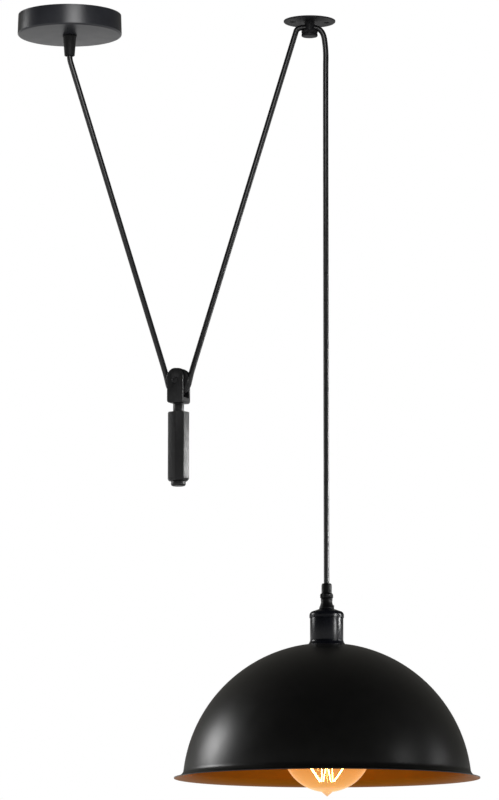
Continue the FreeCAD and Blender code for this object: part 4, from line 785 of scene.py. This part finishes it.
def makeWheel():
    half, hubHalf, groove, pitch = wheel["half"], wheel["hubHalf"], wheel["groove"], wheel["pitch"]
    outline = [(wheel["bore"], -hubHalf), (wheel["hub"], -hubHalf), (wheel["hub"], -half),
               (wheel["rim"] - wheel["edge"], -half), (wheel["rim"], wheel["edge"] - half),
               (wheel["rim"], -groove), (pitch, -groove)]
    for step in range(1, 12):
        turn = math.radians(180 * step / 12)
        outline.append((pitch - groove * math.sin(turn), -groove * math.cos(turn)))
    outline += [(radius, -height) for radius, height in outline[6::-1]]
    made = turned("pulleyWheelTurned", (0, 0), eased(outline, wheel["ease"]) + outline[:1],
                  120)
    made.rotation_euler = (math.radians(90), 0, forkTurn)
    made.location = (weightX, 0, axleZ)
    applyPlace(made)
    dressed(settle(made, 30), "wheel", "wheel_nylon", "pulley_wheel")


makeFork()
makeStem()
makeBar()
makePlug()
makeAxleScrew()
makeWheel()
print("counterweight dressed")


holder = {
    "capTop": 0.00475,       # radius of the grip nut's top
    "capFlat": 0.0006,       # where its dome starts, in from that radius
    "cap": 0.0059,
    "capDome": 0.0032,
    "capHeight": 0.0114,
    "bulge": 0.0013,
    "sealRoom": 0.0045,
    "sealTop": -0.6683,
    "ribs": 30,
    "ribDepth": 0.0003,
    "neckTop": 0.0068,
    "neckFoot": 0.0065,
    "neckHeight": 0.004,
    "flareFoot": 0.0013,
    "thread": 0.005,
    "threadLength": 0.007,
    "cupWall": 0.0012,
    "cupStep": 0.0026,
    "cupInset": 0.0006,
    "collarSeat": 0.0185,
    "collarSeam": 0.0186,
    "collarNeck": 0.01935,
    "seam": 0.0005,
    "neckRing": 0.0008,
    "collarLip": 0.0005,
    "collarEase": 0.0002,
    "ease": 0.00035,
}


def makeGripNut():
    middle, top, bottom, outer = span("lamp_grip_nut")
    cap, dome = holder["cap"], holder["capDome"]
    shoulder = top - holder["capHeight"]
    bulge = holder["bulge"]
    outline = [(cordBore, top), (holder["capTop"] - holder["capFlat"], top)]
    for step in range(7):                         # the nut's domed top
        turn = math.radians(15 + 75 * step / 6)
        outline.append((holder["capTop"] + (cap - holder["capTop"]) * math.sin(turn),
                        top - dome * (1 - math.cos(turn))))
    outline += [(cap, shoulder), (outer - bulge, shoulder), (outer, shoulder - bulge),
                (outer, bottom + bulge), (outer - bulge, bottom), (holder["sealRoom"], bottom),
                (holder["sealRoom"], holder["sealTop"]), (cordBore, holder["sealTop"])]
    made = turned("lampGripNutShell", middle, eased(outline, holder["ease"]) + outline[:1],
                  holder["ribs"] * 6)
    ribbed(made, middle, holder["ribs"], holder["ribDepth"],
           lambda radius, height: radius > outer - 0.0002)
    dressed(settle(made, 28), "lamp", "grip_black", "lamp_grip_nut")


def makeLampGrip():
    middle, top, bottom, outer = span("lamp_grip")
    foot = bottom + holder["threadLength"]
    waist = top - holder["neckHeight"]
    flare = foot + holder["flareFoot"]
    outline = [(cordBore, top), (holder["neckTop"], top), (holder["neckFoot"], waist)]
    for step in range(1, 9):                      # the hollow flare down to the holder's cap
        share = step / 8
        outline.append((holder["neckFoot"] + (outer - holder["neckFoot"]) * share ** 1.2,
                        waist + (flare - waist) * share))
    outline += [(outer, foot), (holder["thread"], foot), (holder["thread"], bottom),
                (cordBore, bottom)]
    made = turned("lampGripShell", middle, eased(outline, holder["ease"]) + outline[:1])
    dressed(settle(made), "lamp", "grip_black", "lamp_grip")


def makeCup():
    middle, top, bottom, outer = span("holder_cup")
    inner = outer - holder["cupWall"]
    step = top - holder["cupStep"]
    outline = [(inner, top), (outer - holder["cupInset"], top), (outer - holder["cupInset"], step),
               (outer, step), (outer, bottom), (inner, bottom)]
    made = turned("holderCupShell", middle, eased(outline, holder["ease"]) + outline[:1], 160)
    dressed(settle(made), "lamp", "black_lacquer", "holder_cup")


def makeCollar():
    middle, top, bottom, outer = span("shade_collar")
    seam, neck = top - holder["seam"], holder["collarNeck"]
    start = seam - holder["neckRing"]
    lip = bottom + holder["collarLip"]
    outline = [(holder["collarSeat"], top), (holder["collarSeam"], top),
               (holder["collarSeam"], seam), (neck, seam)]
    for step in range(7):
        share = step / 6
        outline.append((neck + (outer - neck) * share ** 1.35, start + (lip - start) * share))
    outline += [(outer, bottom), (holder["collarSeat"], bottom)]
    made = turned("shadeCollarRing", middle, eased(outline, holder["collarEase"]) + outline[:1],
                  160)
    dressed(settle(made), "lamp", "black_lacquer", "shade_collar")


makeGripNut()
makeLampGrip()
makeCup()
makeCollar()
print("holder dressed")


shade = {
    "top": -0.7313,
    "dome": 0.1652,
    "centre": -0.8943,
    "shoulder": 12.0,        # degrees from the top where the dome starts
    "flat": 0.022,
    "hole": 0.0187,
    "lip": -0.8830,
    "lipRadius": 0.175,
    "lipRise": 0.0086,
    "wall": 0.0010,
}


def makeShade():
    dome, centre = shade["dome"], shade["centre"]
    profile = [(shade["hole"], shade["top"]), (shade["flat"], shade["top"])]
    foot = shade["lip"] + shade["lipRise"]
    last = math.degrees(math.asin((foot - centre) / dome))
    first = 90 - shade["shoulder"]
    top = arcPoints((0, centre), dome, first, first, 1)[0]
    for share in (0.3, 0.65):                     # eases the flat top into the dome
        across = shade["flat"] + (top[0] - shade["flat"]) * share
        profile.append((across, shade["top"] - (shade["top"] - top[1]) * share ** 1.9))
    profile += arcPoints((0, centre), dome, first, last, 44)
    start = profile[-1]
    end = (shade["lipRadius"], shade["lip"])
    for step in range(1, 9):                      # the lip flares out in a hollow curve
        share = step / 8
        profile.append((start[0] + (end[0] - start[0]) * share ** 1.9,
                        start[1] + (end[1] - start[1]) * (1 - (1 - share) ** 1.55)))
    made = turned("shadeShell", (lampX, 0), profile, 224)
    made.data.materials.append(finishes["shade_metal"])
    made.data.materials.append(goldInside)
    startEdit(made)
    bpy.ops.mesh.normals_make_consistent(inside=False)
    bpy.ops.object.mode_set(mode="OBJECT")
    outward = sum(face.normal.x * (face.center.x - lampX) + face.normal.y * face.center.y
                  for face in made.data.polygons)
    if outward < 0:
        startEdit(made)
        bpy.ops.mesh.flip_normals()
        bpy.ops.object.mode_set(mode="OBJECT")
    addModifier(made, "SOLIDIFY", thickness=shade["wall"], offset=-1, material_offset=1,
                material_offset_rim=0, use_even_offset=True)
    bpy.ops.object.shade_smooth_by_angle(angle=math.radians(50))
    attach(made, "lamp")
    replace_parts(made, "shade")


makeShade()
print("shade dressed")


bulb = {
    "nipple": 0.0052,
    "nippleAngle": 7.0,      # half angle of the tip's point, degrees
    "joinAngle": 142.0,      # where the globe turns into the neck, degrees from the tip
    "neck": 0.015,
    "neckTop": -0.758,
    "neckCurve": 0.062,
    "fit": 0.0115,
    "wall": 0.0009,
}


def makeBulbGlass():
    middle, top, tip, globe = span("bulb_glass")
    centre = tip + bulb["nipple"] + globe
    join, point = bulb["joinAngle"] - 90, bulb["nippleAngle"] - 90
    profile = [(bulb["fit"], top), (bulb["fit"], bulb["neckTop"]), (bulb["neck"], bulb["neckTop"])]
    start, end = Vector(profile[-1]), Vector(arcPoints((0, centre), globe, join, join, 1)[0])
    chord = end - start
    side = Vector((-chord.y, chord.x)).normalized()
    far = math.sqrt(bulb["neckCurve"] ** 2 - (chord.length / 2) ** 2)
    hollow = start + chord / 2 + side * (far if side.x > 0 else -far)
    first = (start - hollow).angle_signed(Vector((1, 0)))
    last = (end - hollow).angle_signed(Vector((1, 0)))
    first, last = math.degrees(first) % 360, math.degrees(last) % 360
    profile += arcPoints(hollow, bulb["neckCurve"], first, last, 14)[1:]
    profile += arcPoints((0, centre), globe, join, point, 44)[1:]
    low = profile[-1]
    for share in (0.25, 0.5, 0.75, 0.97):         # draws the globe down into its tip
        profile.append((low[0] * (1 - share), low[1] + (tip - low[1]) * share))
    made = turned("bulbGlassShell", middle, profile, 144)
    closeEnds(made, [profile[-1][1]])
    settle(made, 60)
    addModifier(made, "SOLIDIFY", thickness=bulb["wall"], offset=-1, use_even_offset=True)
    bpy.ops.object.shade_smooth_by_angle(angle=math.radians(50))
    dressed(made, "bulb", "bulb_glass", "bulb_glass")


coil = {
    "radius": 0.00042,
    "wire": 0.00013,
    "turns": 44,
}


def strands():
    # the ends of each filament, from the loose pieces of its solid
    merged = mergedCopy("strandGuide", "bulb_filaments")
    startEdit(merged)
    bpy.ops.mesh.separate(type="LOOSE")
    bpy.ops.object.mode_set(mode="OBJECT")
    found = []
    for part in [obj for obj in bpy.data.objects if obj.name.startswith("strandGuide")]:
        points = [vertex.co.copy() for vertex in part.data.vertices]
        middle = sum(points, Vector()) / len(points)
        ends = [[point for point in points if (point.z > middle.z) == upper] for upper in (1, 0)]
        found.append([sum(end, Vector()) / len(end) for end in ends])
        bpy.data.objects.remove(part)
    return sorted(found, key=lambda pair: math.atan2(pair[0].y, pair[0].x - lampX))


def makeFilaments():
    coils = []
    for high, low in strands():
        run = low - high
        pick(None)
        bpy.ops.mesh.primitive_circle_add(
            vertices=5, radius=coil["wire"], location=(coil["radius"], 0, 0),
            rotation=(math.radians(90), 0, 0))
        made = bpy.context.object
        applyPlace(made)
        addModifier(made, "SCREW", axis="Z", angle=math.radians(360 * coil["turns"]),
                    screw_offset=run.length, steps=6 * coil["turns"],
                    render_steps=6 * coil["turns"], use_merge_vertices=False)
        startEdit(made, "EDGE", "DESELECT")
        bpy.ops.mesh.select_non_manifold()
        bpy.ops.mesh.fill()
        bpy.ops.object.mode_set(mode="OBJECT")
        made.rotation_euler = run.to_track_quat("Z", "Y").to_euler()
        made.location = high
        applyPlace(made)
        coils.append(settle(made, 60))
    pick(coils[0])
    for made in coils:
        made.select_set(True)
    bpy.ops.object.join()
    bpy.context.object.name = "bulbFilamentCoils"
    dressed(bpy.context.object, "bulb", "filament", "bulb_filaments")


makeBulbGlass()
makeFilaments()
print("bulb dressed")


def dressNodes():
    # every other part keeps its solid and gets its finish
    replaced = set()
    for piece in bpy.data.objects:
        replaced.update(piece.get("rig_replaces", []))
    slots = {entry["node"]: entry["material_slot"] for entry in frame["record"]["subparts"]}
    for name, node in nodes.items():
        if name not in replaced:
            node.data.materials.clear()
            node.data.materials.append(nodeFinishes.get(name, finishes[slots[name]]))


dressNodes()
print("parts finished")


room = {
    "floor": -2.4,
    "size": 60.0,
    "white": 1.0,
    "fill": 0.62,
    "hood": 25.0,            # radius of the dark hood over the room, seen only in gloss
    "hoodFoot": 2.0,         # degrees above level
    "hoodFront": (0.012, 0.012, 0.013),
    "hoodBack": (0.16, 0.155, 0.14),
    "lamps": {
        "leftLamp": {"toward": (-0.83, 0.42, 0.35), "from": (0.16, 0, -0.85), "away": 2.5,
                     "size": (0.9, 0.85), "power": 1.2, "spread": 34},
        "rightLamp": {"toward": (1.0, 0.1, 0.12), "from": (0.128, 0, -0.52), "away": 2.4,
                      "size": (0.4, 0.3), "power": 0.42, "spread": 18},
        "stripLamp": {"toward": (0.8, -0.58, 0.12), "from": (0.299, 0, -0.7), "away": 0.8,
                      "size": (0.15, 0.2), "power": 0.075, "spread": 28},
        "frontLamp": {"toward": (0.1, -0.98, 0.15), "from": (0, 0, -0.01), "away": 0.9,
                      "size": (0.5, 0.3), "power": 0.45, "spread": 70},
    },
}


def makeFloor():
    pick(None)
    bpy.ops.mesh.primitive_plane_add(size=room["size"], location=(0, 0, room["floor"]))
    floor = bpy.context.object
    floor.name = "floorPlane"
    made = Finish("floorPale", Roughness=0.8)
    made.dress({"Base Color": made.between(
        made.noise(3.0, 2.0), (0.80, 0.80, 0.80), (0.84, 0.84, 0.84))})
    back = made.node("NewGeometry").outputs["Backfacing"]
    clear = made.node("BsdfTransparent").outputs[0]
    mix = made.node("MixShader", Fac=back)
    made.tree.links.new(made.shader.outputs[0], mix.inputs[1])
    made.tree.links.new(clear, mix.inputs[2])
    made.tree.links.new(mix.outputs[0], made.tree.nodes["Material Output"].inputs[0])
    floor.data.materials.append(made.material)


def makeHood():
    # a dark dome above the room, so that black paint reflects dark as it does in the photo
    pick(None)
    bpy.ops.mesh.primitive_uv_sphere_add(
        segments=64, ring_count=45, radius=room["hood"], location=(0, 0, 0))
    hood = bpy.context.object
    hood.name = "darkHood"
    startEdit(hood)
    foot = room["hood"] * math.sin(math.radians(room["hoodFoot"]))
    bpy.ops.mesh.bisect(plane_co=(0, 0, foot), plane_no=(0, 0, 1), clear_inner=True)
    bpy.ops.object.mode_set(mode="OBJECT")
    made = Finish("hoodDark", Specular_IOR_Level=0.0, Roughness=1.0, Emission_Strength=1.0)
    behind = (made.axis("Y") / room["hood"]).clipped()
    made.dress({
        "Base Color": (0, 0, 0, 1),
        "Emission Color": made.between(behind, room["hoodFront"], room["hoodBack"]),
    })
    hood.data.materials.append(made.material)
    hood.visible_camera = False
    hood.visible_diffuse = False
    hood.visible_transmission = False
    hood.visible_shadow = False


def makeWorld():
    world = bpy.data.worlds.new("paleRoom")
    scene.world = world
    world.use_nodes = True
    tree = world.node_tree
    tree.nodes.clear()
    seen = tree.nodes.new("ShaderNodeLightPath")
    ray = Value(tree, seen.outputs["Is Camera Ray"])
    gloss = Value(tree, seen.outputs["Is Glossy Ray"])
    through = Value(tree, seen.outputs["Is Transmission Ray"])
    plain = (ray + gloss + through).clipped()
    strength = plain * (room["white"] - room["fill"]) + room["fill"]
    back = tree.nodes.new("ShaderNodeBackground")
    back.inputs["Color"].default_value = (1, 1, 1, 1)
    tree.links.new(strength.link, back.inputs["Strength"])
    out = tree.nodes.new("ShaderNodeOutputWorld")
    tree.links.new(back.outputs[0], out.inputs["Surface"])


def makeLamps():
    for name, lamp in room["lamps"].items():
        data = bpy.data.lights.new(name, "AREA")
        data.shape = "RECTANGLE"
        data.size, data.size_y = lamp["size"]
        data.energy = lamp["power"]
        data.spread = math.radians(lamp["spread"])
        made = bpy.data.objects.new(name, data)
        scene.collection.objects.link(made)
        toward = Vector(lamp["toward"]).normalized()
        made.location = Vector(lamp["from"]) + toward * lamp["away"]
        made.rotation_euler = toward.to_track_quat("Z", "Y").to_euler()
        made.visible_camera = False


makeFloor()
makeHood()
makeWorld()
makeLamps()
scene.view_settings.view_transform = "Standard"
print("room lit")
